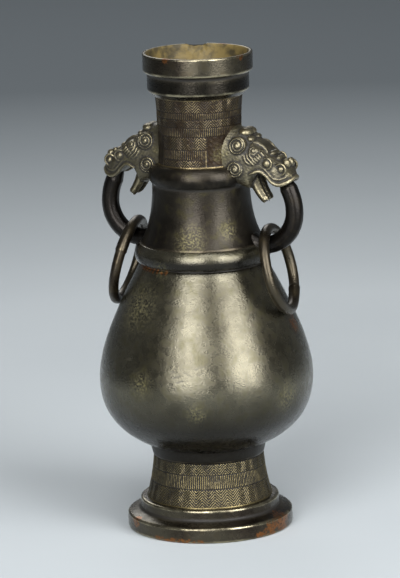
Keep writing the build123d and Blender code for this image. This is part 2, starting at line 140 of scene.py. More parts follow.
def wrap_quads(rows, columns, close_rows=True):
    """Corner numbers of each quad: a point, its neighbour in the next column, and both in the next row."""
    last = rows if close_rows else rows - 1
    row, column = np.meshgrid(np.arange(last), np.arange(columns), indexing="ij")
    next_row, next_column = (row + 1) % rows, (column + 1) % columns
    corners = [row * columns + column, row * columns + next_column,
               next_row * columns + next_column, next_row * columns + column]
    return np.stack(corners, -1).reshape(-1, 4)


def put_mesh(name, points, quads):
    """Store points in millimetres and their quads as a smooth Blender mesh in metres."""
    mesh = bpy.data.meshes.new(name)
    mesh.vertices.add(len(points))
    mesh.vertices.foreach_set("co", (points * MM).astype(np.float32).ravel())
    mesh.loops.add(quads.size)
    mesh.loops.foreach_set("vertex_index", quads.astype(np.int32).ravel())
    mesh.polygons.add(len(quads))
    mesh.polygons.foreach_set("loop_start", np.arange(0, quads.size, 4, dtype=np.int32))
    mesh.update(calc_edges=True)
    mesh.shade_smooth()
    return mesh


def close_poles(mesh):
    """Join points that fall together, such as the last ring of a rounded end."""
    work = bmesh.new()
    work.from_mesh(mesh)
    bmesh.ops.remove_doubles(work, verts=work.verts, dist=POLE_REACH)
    work.to_mesh(mesh)
    work.free()


print("a sheet of 3 by 4 points has", len(wrap_quads(3, 4, close_rows=False)), "quads when it is a sock")

# %% [markdown]
# ## Wear needs to know the shape
# Dust stays in hollows and hands polish ridges. Blender can be told where they are: each point is compared
# with the average of its surroundings. Below that average is a hollow, above it a ridge. Four more numbers
# say where a casting faces its own inside, which is never polished, where a darker colour is painted on as
# shade (low on the belly, on the undersides of the ridges and on the band under the lip), where the patina
# has gone altogether (at the foot, at the lip, along the groove above the belly and where a ring knocks) and
# where green crust has grown. Each number is kept on the mesh as an attribute, which the materials read. The
# places could be painted by hand, but a list of spots is shorter and easy to move.

# %% Painted shade, bare and crusted places


def spot(radius, swing, height, size):
    """A spot: its distance from the axis, degrees right of the camera's bearing, height and radius."""
    angle = np.radians(VIEW_BEARING + swing)
    return radius * np.sin(angle), -radius * np.cos(angle), height, size


# Painted shade: the level where its darker colour is strongest, and how far from there it reaches.
PAINTED_SHADE_BANDS = [
    (Z_BELLY + 1.0, 54.0), (Z_LOWER_NECK - 12.0, 7.5), (Z_UPPER_NECK - 11.0, 6.5), (Z_MOUTH + 8.0, 10.0),
]
base_scrapes = [spot(BASE_R, swing, 0.4, 4.2) for swing in range(-40, -4, 4)]
shoulder_line = [spot(47.4, swing, Z_LOWER_NECK - 16.6, 2.5) for swing in range(-76, -34, 5)]
ring_knock = spot(71.2, 72, 157.5, 10)
BARE_SPOTS = [
    spot(BASE_R, 36, 1.5, 6), spot(BASE_R, 47, 5.0, 10), spot(BASE_R, 60, 8.0, 13),
    spot(BASE_R, -64, 10.0, 7), *base_scrapes, ring_knock, *shoulder_line,
    spot(LIP_R, -35, Z_TOP, 5), spot(LIP_R, 50, Z_TOP, 5), spot(LIP_R, 148, Z_TOP, 7),
]
CRUST_SPOTS = [
    spot(79.5, -38, 123.0, 14), spot(64.0, -55, 178.0, 26), spot(43.0, -13, 226.0, 15),
    spot(42.0, 28, 232.0, 10), spot(78.0, 48, 110.0, 14), spot(80.0, -6, 104.0, 10),
    spot(50.0, -40, 203.0, 9), spot(33.0, 30, 288.0, 9),
]
print("bare spots", len(BARE_SPOTS), "crust spots", len(CRUST_SPOTS))

# %% Mark the shape on a mesh
HOLLOW_REACH = 1.6
FEWEST_PASSES, MOST_PASSES = 3, 40
LONG_EDGE = 2.5
NEAR_AXIS = 1e-6
INSIDE_SLOPE, INSIDE_START = 2, 0.2
MARKS = ("hollow", "inside", "painted_shade", "bare", "crust")


def read_points(mesh, what):
    """Positions or normals of a mesh's points as rows of three numbers."""
    values = np.empty(len(mesh.vertices) * 3, np.float32)
    mesh.vertices.foreach_get(what, values)
    return values.reshape(-1, 3).astype(float)


def evened(points, start, end, passes):
    """Points averaged with their neighbours along the edges, a number of times over."""
    count = len(points)
    degree = np.bincount(start, minlength=count) + np.bincount(end, minlength=count) + 1.0
    for _ in range(passes):
        sums = [
            axis + np.bincount(start, axis[end], count) + np.bincount(end, axis[start], count)
            for axis in points.T
        ]
        points = np.stack(sums, 1) / degree[:, None]
    return points


def nearness(points, spots):
    """Share from 1 in the middle of the nearest spot to 0 at its edge."""
    shares = [1 - np.linalg.norm(points - centre, axis=1) / size for *centre, size in spots]
    return np.clip(np.max(shares, axis=0), 0, 1)


def mark_shape(mesh, turned):
    """Store five numbers per point: hollow (how far the evened surface lies above it, in millimetres, counted
    from the piece's usual value), inside (1 where a turned casting faces the axis), painted shade (a darker
    colour laid on as shade, in bands by height), bare and crust. Points on edges much longer than usual, on
    flat or hidden faces, count as neither hollow nor ridge."""
    points, normals = read_points(mesh, "co") / MM, read_points(mesh, "normal")
    ends = np.empty(len(mesh.edges) * 2, np.int32)
    mesh.edges.foreach_get("vertices", ends)
    start, end = ends.reshape(-1, 2).T
    lengths = np.linalg.norm(points[start] - points[end], axis=1)
    usual = np.median(lengths)
    passes = int(np.clip((HOLLOW_REACH / usual) ** 2, FEWEST_PASSES, MOST_PASSES))
    hollow = ((evened(points, start, end, passes) - points) * normals).sum(1)
    hollow -= np.median(hollow)
    longest = np.zeros(len(points))
    np.maximum.at(longest, start, lengths)
    np.maximum.at(longest, end, lengths)
    hollow[longest > LONG_EDGE * usual] = 0
    from_axis = np.linalg.norm(points[:, :2], axis=1, keepdims=True)
    spoke = points[:, :2] / np.maximum(from_axis, NEAR_AXIS)
    facing = (normals[:, :2] * spoke).sum(1)
    inside = np.clip(-INSIDE_SLOPE * facing - INSIDE_START, 0, 1) * turned
    # Painted shade: a darker colour in bands by height, low on the belly, under the ridges and under the lip.
    bands = [np.clip(1 - np.abs(points[:, 2] - level) / reach, 0, 1) for level, reach in PAINTED_SHADE_BANDS]
    painted_shade = np.max(bands, axis=0) * turned
    values = hollow, inside, painted_shade, nearness(points, BARE_SPOTS), nearness(points, CRUST_SPOTS)
    for name, value in zip(MARKS, values):
        mesh.attributes.new(name, "FLOAT", "POINT").data.foreach_set("value", value.astype(np.float32))
    return hollow


def dress(name, mesh, body, node, material, turned=False):
    """Make the mesh a piece: mark its shape, give it a material, and let it stand for a solid on its body."""
    hollow = mark_shape(mesh, turned)
    piece = bpy.data.objects.new(name, mesh)
    bpy.context.scene.collection.objects.link(piece)
    mesh.materials.append(material)
    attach(piece, body)
    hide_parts(node)
    triangles = len(mesh.loops) - 2 * len(mesh.polygons)
    print(name, "triangles", triangles, "hollow", np.round(np.percentile(hollow, [2, 50, 98]), 3))


print("marks on each mesh:", ", ".join(MARKS))

# %% [markdown]
# ## Colours and nodes
# Colours are picked from a screen, so they are written as sRGB hex and turned to the linear light that a
# renderer adds up. One small function adds a shader node, sets it and wires it. Its sockets are filled in
# their order, or by number or name, and each gets either a plain value or the output of another node.

# %% Colour and node helpers


def linear(hex_colour):
    """sRGB hex to linear RGBA by the standard curve: a straight toe, then a power of 2.4."""
    screen = np.array([int(hex_colour[i:i + 2], 16) for i in (1, 3, 5)]) / 255
    light = np.where(screen <= 0.04045, screen / 12.92, ((screen + 0.055) / 1.055) ** 2.4)
    return (*light.tolist(), 1.0)


def add(tree, kind, sockets=(), **settings):
    """Add a node with its settings, link or set each of its sockets, and give back its outputs."""
    node = tree.nodes.new(kind)
    for key, value in settings.items():
        setattr(node, key, value)
    for key, value in sockets.items() if isinstance(sockets, dict) else enumerate(sockets):
        if isinstance(value, bpy.types.NodeSocket):
            tree.links.new(value, node.inputs[key])
        else:
            node.inputs[key].default_value = value
    return node.outputs


def per_mm(size):
    """Noise scale for features of a size in millimetres, on coordinates in metres."""
    return 1 / (size * MM)


print("middle grey of a screen is", round(linear("#808080")[0], 3), "in linear light")

# %% [markdown]
# ## Patinated bronze
# The body is cast bronze under a waxed brown patina. It is a metal, so its colour sits in its reflections:
# olive-grey where the studio lamps show, nearly black elsewhere. Age adds brown and green-yellow patches,
# dark dust in the hollows, rubbed ridges, a few bare spots of copper colour and a dry ochre inside. The skin
# is a little uneven from the mould, which breaks the highlights into grains. On the belly a coat of wax adds
# a colourless shine, so that the highlights there are paler than the metal. Each finish could be painted as
# a picture, but noise in real sizes needs no picture and fits every piece. One function makes each finish.

# %% Bronze sizes and colours
COPPER = "#86552c"
OCHRE = "#716136"
DEEP_OCHRE = "#3e3620"
CRUST = "#7a7346"
# Painted shade: the dark colour laid on as shade low on the belly, under the ridges and under the lip.
PAINTED_SHADE_COLOUR = "#1d1a15"

# Noise: the size of its features in millimetres, and its detail.
CLOUDS = {
    "patch": (34, 5.0), "blotch": (8, 6.0), "rubbing": (13, 5.0),
    "speckle": (2.2, 6.0), "grain": (1.6, 3.0), "crumbs": (1.5, 9.0), "skin": (1.7, 4.0),
}
# Ramps: where a value starts and ends, and what it gives at both ends.
DARK_PATCHES = (0.44, 0.68, 0.0, 1.0)
MOTTLED = (0.54, 0.7, 0.0, 0.6)
# Painted shade: how much of the dark colour the bands by height give.
PAINTED_SHADE_RAMP = (0.08, 0.6, 0.0, 0.92)
RUBBED_PATCHES = (0.38, 0.58, 0.2, 1.0)
CRUMBLED = (0.44, 0.7, 0.0, 1.0)
CRUSTED = (0.0, 0.8, 0.0, 0.65)
RAGGED = (0.38, 0.62, 0.15, 1.7)
COPPERED = (0.15, 0.55, 0.0, 0.85)
LINED = (0.42, 0.62, 0.0, 1.0)
POLISHED = (0.0, 1.0, 0.0, -0.12)
METALLIC = (0.0, 1.0, 0.92, 0.25)
# Ramps whose ends differ from finish to finish: where the value starts and ends.
RIDGES = (-0.1, -0.22)
HOLLOWS = (0.075, 0.2)
BLOTCHES = (0.3, 0.7)
RIDGE_BREAK, HOLLOW_BREAK = -0.14, 0.12
SMOOTHER, ROUGHER = 0.06, 0.12
DRY_ROUGHNESS = 0.7
SKIN_SQUASH = (1.0, 1.0, 1.9)
WAX_ROUGHNESS = 0.22
print("noise from", CLOUDS["crumbs"][0], "to", CLOUDS["patch"][0], "mm")

# %% Patinated bronze
RAMP, MATHS, MIX = "ShaderNodeMapRange", "ShaderNodeMath", "ShaderNodeMix"
# Sockets of a Mix node: two colours and their mixture, and two plain numbers.
UNDER, OVER, MIXED = 6, 7, 2
FIRST, SECOND = 2, 3


def patinated_bronze(name, main, dark, mottle, worn, dust, dusty, rubbed, roughness, peel, wax):
    """Waxed bronze. Patches and blotches mix three patina colours, a darker colour painted on as shade
    darkens them in bands, ridges lose patina and gain polish in patches, hollows take dust, and the marked
    places show crust, copper or the dry inside. Every layer is laid over the one before by its own share."""
    material = bpy.data.materials.new(name)
    material.use_nodes = True
    tree = material.node_tree
    place = add(tree, "ShaderNodeTexCoord")["Object"]
    squashed = add(tree, "ShaderNodeVectorMath", (place, SKIN_SQUASH), operation="MULTIPLY")[0]
    hollow, inside, painted_shade, bare, crust = [
        add(tree, "ShaderNodeAttribute", attribute_name=mark)["Fac"] for mark in MARKS
    ]
    cloud = {}
    for key, (size, detail) in CLOUDS.items():
        where = squashed if key == "skin" else place
        sockets = {"Vector": where, "Scale": per_mm(size), "Detail": detail}
        cloud[key] = add(tree, "ShaderNodeTexNoise", sockets)[0]

    broken = add(tree, MATHS, (cloud["blotch"], RIDGE_BREAK, hollow), operation="MULTIPLY_ADD")[0]
    ridge = add(tree, RAMP, (broken, *RIDGES, 0.0, rubbed))[0]
    rubbing = add(tree, RAMP, (cloud["rubbing"], *RUBBED_PATCHES))[0]
    polish = add(tree, MATHS, (ridge, rubbing), operation="MULTIPLY")[0]
    filled = add(tree, MATHS, (cloud["grain"], HOLLOW_BREAK, hollow), operation="MULTIPLY_ADD")[0]
    dust_share = add(tree, RAMP, (filled, *HOLLOWS, 0.0, dusty))[0]
    crumbs = add(tree, RAMP, (cloud["crumbs"], *CRUMBLED))[0]
    grown = add(tree, MATHS, (crust, crumbs), operation="MULTIPLY")[0]
    rags = add(tree, RAMP, (cloud["speckle"], *RAGGED))[0]
    ragged = add(tree, MATHS, (bare, rags), operation="MULTIPLY")[0]
    lining_share = add(tree, RAMP, (cloud["blotch"], *LINED))[0]
    lining_sockets = {"Factor": lining_share, UNDER: linear(OCHRE), OVER: linear(DEEP_OCHRE)}
    lining = add(tree, MIX, lining_sockets, data_type="RGBA")[MIXED]

    layers = [
        (add(tree, RAMP, (cloud["patch"], *DARK_PATCHES))[0], linear(dark)),
        (add(tree, RAMP, (cloud["blotch"], *MOTTLED))[0], linear(mottle)),
        # Painted shade: the dark colour laid in the bands by height.
        (add(tree, RAMP, (painted_shade, *PAINTED_SHADE_RAMP))[0], linear(PAINTED_SHADE_COLOUR)),
        (polish, linear(worn)),
        (dust_share, linear(dust)),
        (add(tree, RAMP, (grown, *CRUSTED))[0], linear(CRUST)),
        (add(tree, RAMP, (ragged, *COPPERED))[0], linear(COPPER)),
        (inside, lining),
    ]
    colour = linear(main)
    for share, over in layers:
        sockets = {"Factor": share, UNDER: colour, OVER: over}
        colour = add(tree, MIX, sockets, data_type="RGBA")[MIXED]

    dusty_or_grown = add(tree, MATHS, (dust_share, grown), operation="MAXIMUM")[0]
    dry = add(tree, MATHS, (dusty_or_grown, inside), operation="MAXIMUM")[0]
    even = add(tree, RAMP, (cloud["blotch"], *BLOTCHES, roughness - SMOOTHER, roughness + ROUGHER))[0]
    shine = add(tree, RAMP, (polish, *POLISHED))[0]
    smooth = add(tree, MATHS, (even, shine), operation="ADD")[0]
    rough_sockets = {"Factor": dry, FIRST: smooth, SECOND: DRY_ROUGHNESS}
    rough = add(tree, MIX, rough_sockets, data_type="FLOAT")[0]
    metal = add(tree, RAMP, (dry, *METALLIC))[0]
    bump = add(tree, "ShaderNodeBump", {"Distance": peel * MM, "Height": cloud["skin"]})[0]

    shader = tree.nodes["Principled BSDF"]
    finish = {
        "Base Color": colour, "Metallic": metal, "Roughness": rough, "Normal": bump, "Coat Normal": bump,
    }
    for socket, source in finish.items():
        tree.links.new(source, shader.inputs[socket])
    shader.inputs["Coat Weight"].default_value = wax
    shader.inputs["Coat Roughness"].default_value = WAX_ROUGHNESS
    return material


print("a finish reads", len(CLOUDS), "noises and", len(MARKS), "marks")

# %% Eight finishes
# Each finish: name; colours of patina, dark patches, mottle, worn ridges and dust; shares of dust and of
# rubbing; roughness; unevenness of the skin in millimetres; wax.
FINISHES = [
    # Belly: satin olive-grey, with pale soft highlights from the wax.
    ("waxed dark bronze",
     "#5d594a", "#454133", "#4d492f", "#76705d", "#19150f", 0.8, 0.4, 0.25, 0.2, 0.35),
    # Plain neck and collar: nearly black, with dim broad highlights.
    ("dark brown bronze",
     "#2f2b24", "#241f1a", "#38341f", "#635a4a", "#15120d", 0.75, 0.5, 0.36, 0.13, 0.1),
    # Mouth and base: dark flats with bright edges, where hands have polished them.
    ("rubbed bronze with copper spots",
     "#4c473b", "#2d261f", "#403927", "#9b937a", "#120f0b", 0.85, 0.9, 0.24, 0.13, 0.1),
    # Neck pattern: brown ground, and lines that show pale where they are rubbed.
    ("chased bronze with rubbed lines",
     "#291f14", "#23180f", "#302918", "#776a4d", "#0a0806", 0.9, 1.0, 0.42, 0.1, 0.1),
    # Foot pattern: the same with almost every line rubbed to a yellowish grey.
    ("chased bronze with ochre lines",
     "#352d1c", "#2e2412", "#3c361f", "#716646", "#0c0a06", 0.9, 3.5, 0.44, 0.1, 0.1),
    # Heads: grey-green and dull, with black lines in the chiselling.
    ("chiselled bronze with dark hollows",
     "#5e594a", "#464132", "#5f593d", "#8e856b", "#120f0a", 0.9, 0.8, 0.4, 0.2, 0.1),
    # Bars: black-brown and smooth from being carried by.
    ("dark handled bronze",
     "#1f1c19", "#181512", "#262118", "#4c4438", "#0d0b08", 0.6, 0.4, 0.32, 0.16, 0.1),
    # Rings: satin brown, clearly paler than the bars they hang on.
    ("worn ring bronze",
     "#474135", "#332c23", "#4b412c", "#766b56", "#19150f", 0.7, 0.6, 0.3, 0.2, 0.1),
]
(waxed_bronze, neck_bronze, rim_bronze, chased_bronze,
 foot_bronze, head_bronze, bar_bronze, ring_bronze) = [patinated_bronze(*finish) for finish in FINISHES]
print("finishes", [name for name, *_ in FINISHES])

# %% [markdown]
# ## Dry bronze inside
# Where no hand reaches, the inside of the casting is dry and dusty: an ochre crust with hardly any shine.
# The floor plate and the two rivets inside the neck keep their solids and take this finish. One noise gives
# both the patches of colour and the unevenness, as dust lies thickest where the skin is rough.

# %% Dry bronze
DRY_DARK = "#4f4026"
DRY_CLOUD = (9, 6.0)
DRY_PATCHES = (0.35, 0.68, 0.0, 1.0)
DRY_PEEL = 0.3
DRY_METAL = 0.3
dry_bronze = bpy.data.materials.new("dry ochre bronze")
dry_bronze.use_nodes = True
dry_tree = dry_bronze.node_tree
dry_place = add(dry_tree, "ShaderNodeTexCoord")["Object"]
dry_sockets = {"Vector": dry_place, "Scale": per_mm(DRY_CLOUD[0]), "Detail": DRY_CLOUD[1]}
dry_cloud = add(dry_tree, "ShaderNodeTexNoise", dry_sockets)[0]
dry_share = add(dry_tree, RAMP, (dry_cloud, *DRY_PATCHES))[0]
dry_colours = {"Factor": dry_share, UNDER: linear(DRY_DARK), OVER: linear(OCHRE)}
dry_colour = add(dry_tree, MIX, dry_colours, data_type="RGBA")[MIXED]
dry_bump = add(dry_tree, "ShaderNodeBump", {"Distance": DRY_PEEL * MM, "Height": dry_cloud})[0]
dry_shader = dry_tree.nodes["Principled BSDF"]
dry_tree.links.new(dry_colour, dry_shader.inputs["Base Color"])
dry_tree.links.new(dry_bump, dry_shader.inputs["Normal"])
dry_shader.inputs["Metallic"].default_value = DRY_METAL
dry_shader.inputs["Roughness"].default_value = DRY_ROUGHNESS
hidden_nodes = ("floor_plate", "right_head_rivet", "left_head_rivet")
for node in hidden_nodes:
    solid = frame["nodes"][node].data
    solid.materials.clear()
    solid.materials.append(dry_bronze)
print("dry inside on", ", ".join(hidden_nodes))

# %% [markdown]
# ## Turned castings
# The body sections are round, so each is an outline turned about the vase's axis. A cast and rubbed edge is
# never sharp. Averaging the outline along its own length with a bell curve rounds every corner by the same
# soft amount, inside corners too, which a Bevel modifier would have to be told edge by edge.

# %% Outline helpers
DENSE = 0.2
BOW_POINTS = 60
BEAD_POINTS = 40
BELL_WIDTHS = 4


def bow(*pulls):
    """Cubic Bezier through four (radius, height) pulls."""
    a, b, c, d = np.array(pulls, float)
    t = np.linspace(0, 1, BOW_POINTS)[:, None]
    return a * (1 - t) ** 3 + 3 * b * t * (1 - t) ** 2 + 3 * c * t * t * (1 - t) + d * t**3


def bead(bottom, crest, top):
    """Half-round moulding: part of the circle through three (radius, height) points."""
    (ax, ay), (bx, by), (cx, cy) = bottom, crest, top
    turn = 2 * (ax * (by - cy) + bx * (cy - ay) + cx * (ay - by))
    sums = [x * x + y * y for x, y in (bottom, crest, top)]
    centre = np.array([
        (sums[0] * (by - cy) + sums[1] * (cy - ay) + sums[2] * (ay - by)) / turn,
        (sums[0] * (cx - bx) + sums[1] * (ax - cx) + sums[2] * (bx - ax)) / turn,
    ])
    spokes = np.unwrap([np.arctan2(*(np.array(p) - centre)[::-1]) for p in (bottom, crest, top)])
    angle = np.linspace(spokes[0], spokes[2], BEAD_POINTS)
    return centre + np.hypot(*(np.array(crest) - centre)) * np.stack([np.cos(angle), np.sin(angle)], 1)


def soft_outline(runs, softness):
    """Closed outline: runs sampled evenly, each corner evened by a bell curve, kept at each run's spacing."""
    path, spacing = [], []
    for points, step in runs:
        points = np.array(points, float)
        along = np.concatenate([[0], np.cumsum(np.hypot(*np.diff(points, axis=0).T))])
        at = np.linspace(0, along[-1], max(2, int(along[-1] / DENSE)), endpoint=False)
        path.append(np.stack([np.interp(at, along, axis) for axis in points.T], 1))
        spacing.append(np.full(len(at), step))
    path, spacing = np.concatenate(path), np.concatenate(spacing)
    reach = int(BELL_WIDTHS * softness / DENSE)
    weights = np.exp(-0.5 * (np.arange(-reach, reach + 1) * DENSE / softness) ** 2)
    wrapped = np.concatenate([path[-reach:], path, path[:reach]])
    even = np.stack([np.convolve(axis, weights / weights.sum(), "valid") for axis in wrapped.T], 1)
    gaps = np.hypot(*(np.roll(even, -1, 0) - even).T)
    measure = np.concatenate([[0], np.cumsum(gaps / spacing)])
    at = np.linspace(0, measure[-1], int(measure[-1]), endpoint=False)
    return np.stack([np.interp(at, measure, np.append(axis, axis[0])) for axis in even.T], 1)


def turn_shell(outline, columns, lift):
    """Surface of revolution: each outline point at each bearing, moved along the outline's normal by
    a lift."""
    slope = np.roll(outline, -1, 0) - np.roll(outline, 1, 0)
    slope /= np.linalg.norm(slope, axis=1, keepdims=True)
    round_about = np.linspace(0, 2 * np.pi, columns, endpoint=False)
    radius, height = np.repeat(outline[:, :1], columns, 1), np.repeat(outline[:, 1:], columns, 1)
    still = np.stack([radius * np.cos(round_about), radius * np.sin(round_about), height], -1)
    rise = lift(still)
    radius = radius + rise * slope[:, 1:]
    height = height - rise * slope[:, :1]
    points = np.stack([radius * np.cos(round_about), radius * np.sin(round_about), height], -1)
    return points.reshape(-1, 3), wrap_quads(*radius.shape)


print("outline spacing", DENSE, "mm")

# %% [markdown]
# ## The skin of a casting
# Metal that was poured in a clay mould is never quite even. A Displace modifier with a cloud texture could
# show that. A sum of waves in seeded directions was chosen, because its wavelength is a plain size in
# millimetres and the same function also wears the chased lines and grains the wax of the heads.

# %% Skin helpers
SKIN_WAVES = 10
WAVE_SPREAD = (0.7, 1.4)
SLOW_DENTS, SLOW_SHARE = 30, 0.7
QUICK_DENTS, QUICK_SHARE = 5, 0.15
SKIN_SINK = 1.6
WRINKLE_LENGTH, WRINKLE_DEPTH, WRINKLE_MOST = 7, 0.1, 2
WRINKLE_SQUASH = [1, 1, 2.4]
CHIP_DEPTH, CHIP_STEEP = 1.5, 3
CHIP_GRAIN, CHIP_RAGGED = 4, 0.2


def ripple(points, wavelength, seed):
    """Uneven skin: the sum of cosine waves of about one wavelength in seeded directions."""
    chance = np.random.default_rng(seed)
    ways = chance.normal(size=(SKIN_WAVES, 3))
    ways *= 2 * np.pi / wavelength / np.linalg.norm(ways, axis=1, keepdims=True)
    ways *= chance.uniform(*WAVE_SPREAD, (SKIN_WAVES, 1))
    phases = chance.uniform(0, 2 * np.pi, SKIN_WAVES)
    return np.cos(points @ ways.T + phases).sum(-1) / np.sqrt(SKIN_WAVES)


def cast_skin(depth, seed, wrinkles=(), chips=()):
    """Lift for a plain casting: slow and quick dents, sunk so that hardly any stands out of the solid,
    wrinkles that lie flat at spots, and chips, which are broken out of an edge to a steady depth."""

    def lift(still):
        slow, quick = ripple(still, SLOW_DENTS, seed), ripple(still, QUICK_DENTS, seed + 1)
        rise = depth * (SLOW_SHARE * slow + QUICK_SHARE * quick - SKIN_SINK)
        for *centre, size in wrinkles:
            near = np.clip(1 - np.linalg.norm(still - centre, axis=-1) / size, 0, 1)
            folds = np.clip(ripple(still * WRINKLE_SQUASH, WRINKLE_LENGTH, seed + 2), 0, WRINKLE_MOST)
            rise = rise - WRINKLE_DEPTH * near * folds
        for *centre, size in chips:
            near = 1 - np.linalg.norm(still - centre, axis=-1) / size
            ragged = CHIP_RAGGED * ripple(still, CHIP_GRAIN, seed + 3)
            rise = rise - CHIP_DEPTH * np.clip(CHIP_STEEP * near + ragged, 0, 1)
        return rise

    return lift


print("dents of", SLOW_DENTS, "and", QUICK_DENTS, "mm")

# %% [markdown]
# ## Belly
# The belly is the large pear of the vase, with the round ridge where the neck sits. Two Bezier bows give the
# pear, an arc gives the ridge, and a second pair of bows runs back inside as the wall. It could be a lathe
# curve with a Screw modifier, but worked out as one sheet it can carry the dents of the casting.

# %% Belly
WALL = 4.0
BELLY_FOOT_R = 44.5
BELLY_WIDEST = Z_BELLY + 51.5
FOOT_PULL_OUT, FOOT_PULL_UP = 28, 12.6
PULL_BELOW, PULL_ABOVE = 22, 24
TOP_PULL_OUT, TOP_PULL_DOWN = 13.8, 26
RIDGE_HEIGHT = 16.0
RIDGE_R = 51.2
GROOVE_DEPTH = 1.4
GROOVE_MIDDLE, GROOVE_TOP, RIDGE_START = 0.6, 1.6, 1.7
BELLY_TOP_R = 47.5
Z_RIDGE = Z_LOWER_NECK - RIDGE_HEIGHT
APERTURE_R = 33.0
FLOOR = 5.5
FINE, COARSE = 1.15, 6.0


def belly_bows(inset, floor):
    """Lower and upper bow of the pear, moved in by a wall and up by a floor."""
    foot, widest, top = BELLY_FOOT_R - inset, BELLY_R - inset, BELLY_TOP_R - inset
    low = Z_BELLY + floor
    lower = bow((foot, low), (foot + FOOT_PULL_OUT, low + FOOT_PULL_UP),
                (widest, BELLY_WIDEST - PULL_BELOW), (widest, BELLY_WIDEST))
    upper = bow((widest, BELLY_WIDEST), (widest, BELLY_WIDEST + PULL_ABOVE),
                (top + TOP_PULL_OUT, Z_RIDGE - TOP_PULL_DOWN), (top, Z_RIDGE))
    return lower, upper


outer_lower, outer_upper = belly_bows(0.0, 0.0)
inner_lower, inner_upper = belly_bows(WALL, FLOOR)
ridge = bead((BELLY_TOP_R, Z_RIDGE), (RIDGE_R, Z_RIDGE + RIDGE_HEIGHT / 2), (FLARE_R, Z_LOWER_NECK))
ridge = ridge[ridge[:, 1] > Z_RIDGE + RIDGE_START]
groove = [
    (BELLY_TOP_R, Z_RIDGE), (BELLY_TOP_R - GROOVE_DEPTH, Z_RIDGE + GROOVE_MIDDLE),
    (BELLY_TOP_R, Z_RIDGE + GROOVE_TOP),
]
belly_outline = soft_outline([
    ([(APERTURE_R, Z_BELLY), (BELLY_FOOT_R, Z_BELLY)], COARSE),
    (outer_lower, FINE), (outer_upper, FINE), (groove, 0.4), (ridge, 0.7),
    ([(FLARE_R, Z_LOWER_NECK), (FLARE_R - WALL, Z_LOWER_NECK), (BELLY_TOP_R - WALL, Z_RIDGE)], COARSE),
    (inner_upper[::-1], COARSE), (inner_lower[::-1], COARSE),
    ([(BELLY_FOOT_R - WALL, Z_BELLY + FLOOR), (APERTURE_R, Z_BELLY + FLOOR), (APERTURE_R, Z_BELLY)], COARSE),
], softness=0.5)
belly_wrinkles = [spot(79.0, -8, 133.0, 20), spot(79.0, -18, 128.0, 14), spot(76.0, -50, 140.0, 16)]
belly_skin = cast_skin(depth=0.09, seed=3, wrinkles=belly_wrinkles)
belly_mesh = put_mesh("belly_skin", *turn_shell(belly_outline, columns=440, lift=belly_skin))
dress("belly_skin", belly_mesh, "vessel", "belly", waxed_bronze, turned=True)

# %% [markdown]
# ## Plain neck
# Above the ridge the neck rises as a hollow flare and ends in a second, smaller ridge. It is one casting, so
# its outline runs up the flare, round the ridge and back down inside, where separate shapes would show seams.

# %% Plain neck
FLARE_TOP_R = 36.4
FLARE_PULL_OUT, FLARE_PULL_UP, FLARE_PULL_DOWN = 3.1, 10.1, 17.2
UPPER_RIDGE_R = 38.8
UPPER_RIDGE_HEIGHT = 15.5
UPPER_RIDGE_CREST = 7.3
NECK_FOOT_R = 32.0
LEDGE_R = NECK_FOOT_R + 1.4
BORE_R = 27.8
WIDE_BORE_R = BORE_R + 1.0
LAP = 2.5
LAP_R = FLARE_R - 0.3
Z_UPPER_RIDGE = Z_UPPER_NECK - UPPER_RIDGE_HEIGHT
flare = bow((FLARE_R, Z_LOWER_NECK), (FLARE_TOP_R + FLARE_PULL_OUT, Z_LOWER_NECK + FLARE_PULL_UP),
            (FLARE_TOP_R, Z_UPPER_RIDGE - FLARE_PULL_DOWN), (FLARE_TOP_R, Z_UPPER_RIDGE))
upper_ridge = bead((FLARE_TOP_R, Z_UPPER_RIDGE), (UPPER_RIDGE_R, Z_UPPER_RIDGE + UPPER_RIDGE_CREST),
                   (LEDGE_R, Z_UPPER_NECK))
plain_neck_outline = soft_outline([
    ([(LAP_R, Z_LOWER_NECK - LAP), (FLARE_R, Z_LOWER_NECK)], 1.0), (flare, 0.9), (upper_ridge, 0.7),
    ([(LEDGE_R, Z_UPPER_NECK), (WIDE_BORE_R, Z_UPPER_NECK), (WIDE_BORE_R, Z_UPPER_RIDGE),
      (FLARE_R - 2 * WALL, Z_LOWER_NECK - LAP), (LAP_R, Z_LOWER_NECK - LAP)], 4.0),
], softness=0.5)
neck_skin = cast_skin(depth=0.07, seed=11)
neck_mesh = put_mesh("plain_neck", *turn_shell(plain_neck_outline, columns=320, lift=neck_skin))
dress("plain_neck", neck_mesh, "vessel", "lower_neck", neck_bronze, turned=True)

# %% [markdown]
# ## Chased bands
# The upper neck and the foot carry the old basket pattern: rows of nested chevrons, with rows of upright
# lines between them, cast and then chased with a punch. A picture on the surface would not catch the light,
# so the lines are real relief: a wave across a zigzag lifts the metal by almost half a millimetre.

# %% Chased pattern
LINE_PITCH = 1.55
LINE_RISE = 0.45
LINE_SHARPNESS = 1.3
CHEVRON_WIDTH = 9.1
CHEVRON_STEEP = 1.1
CHEVRON_CLOSENESS = 0.74
ROW_BORDER = 0.5


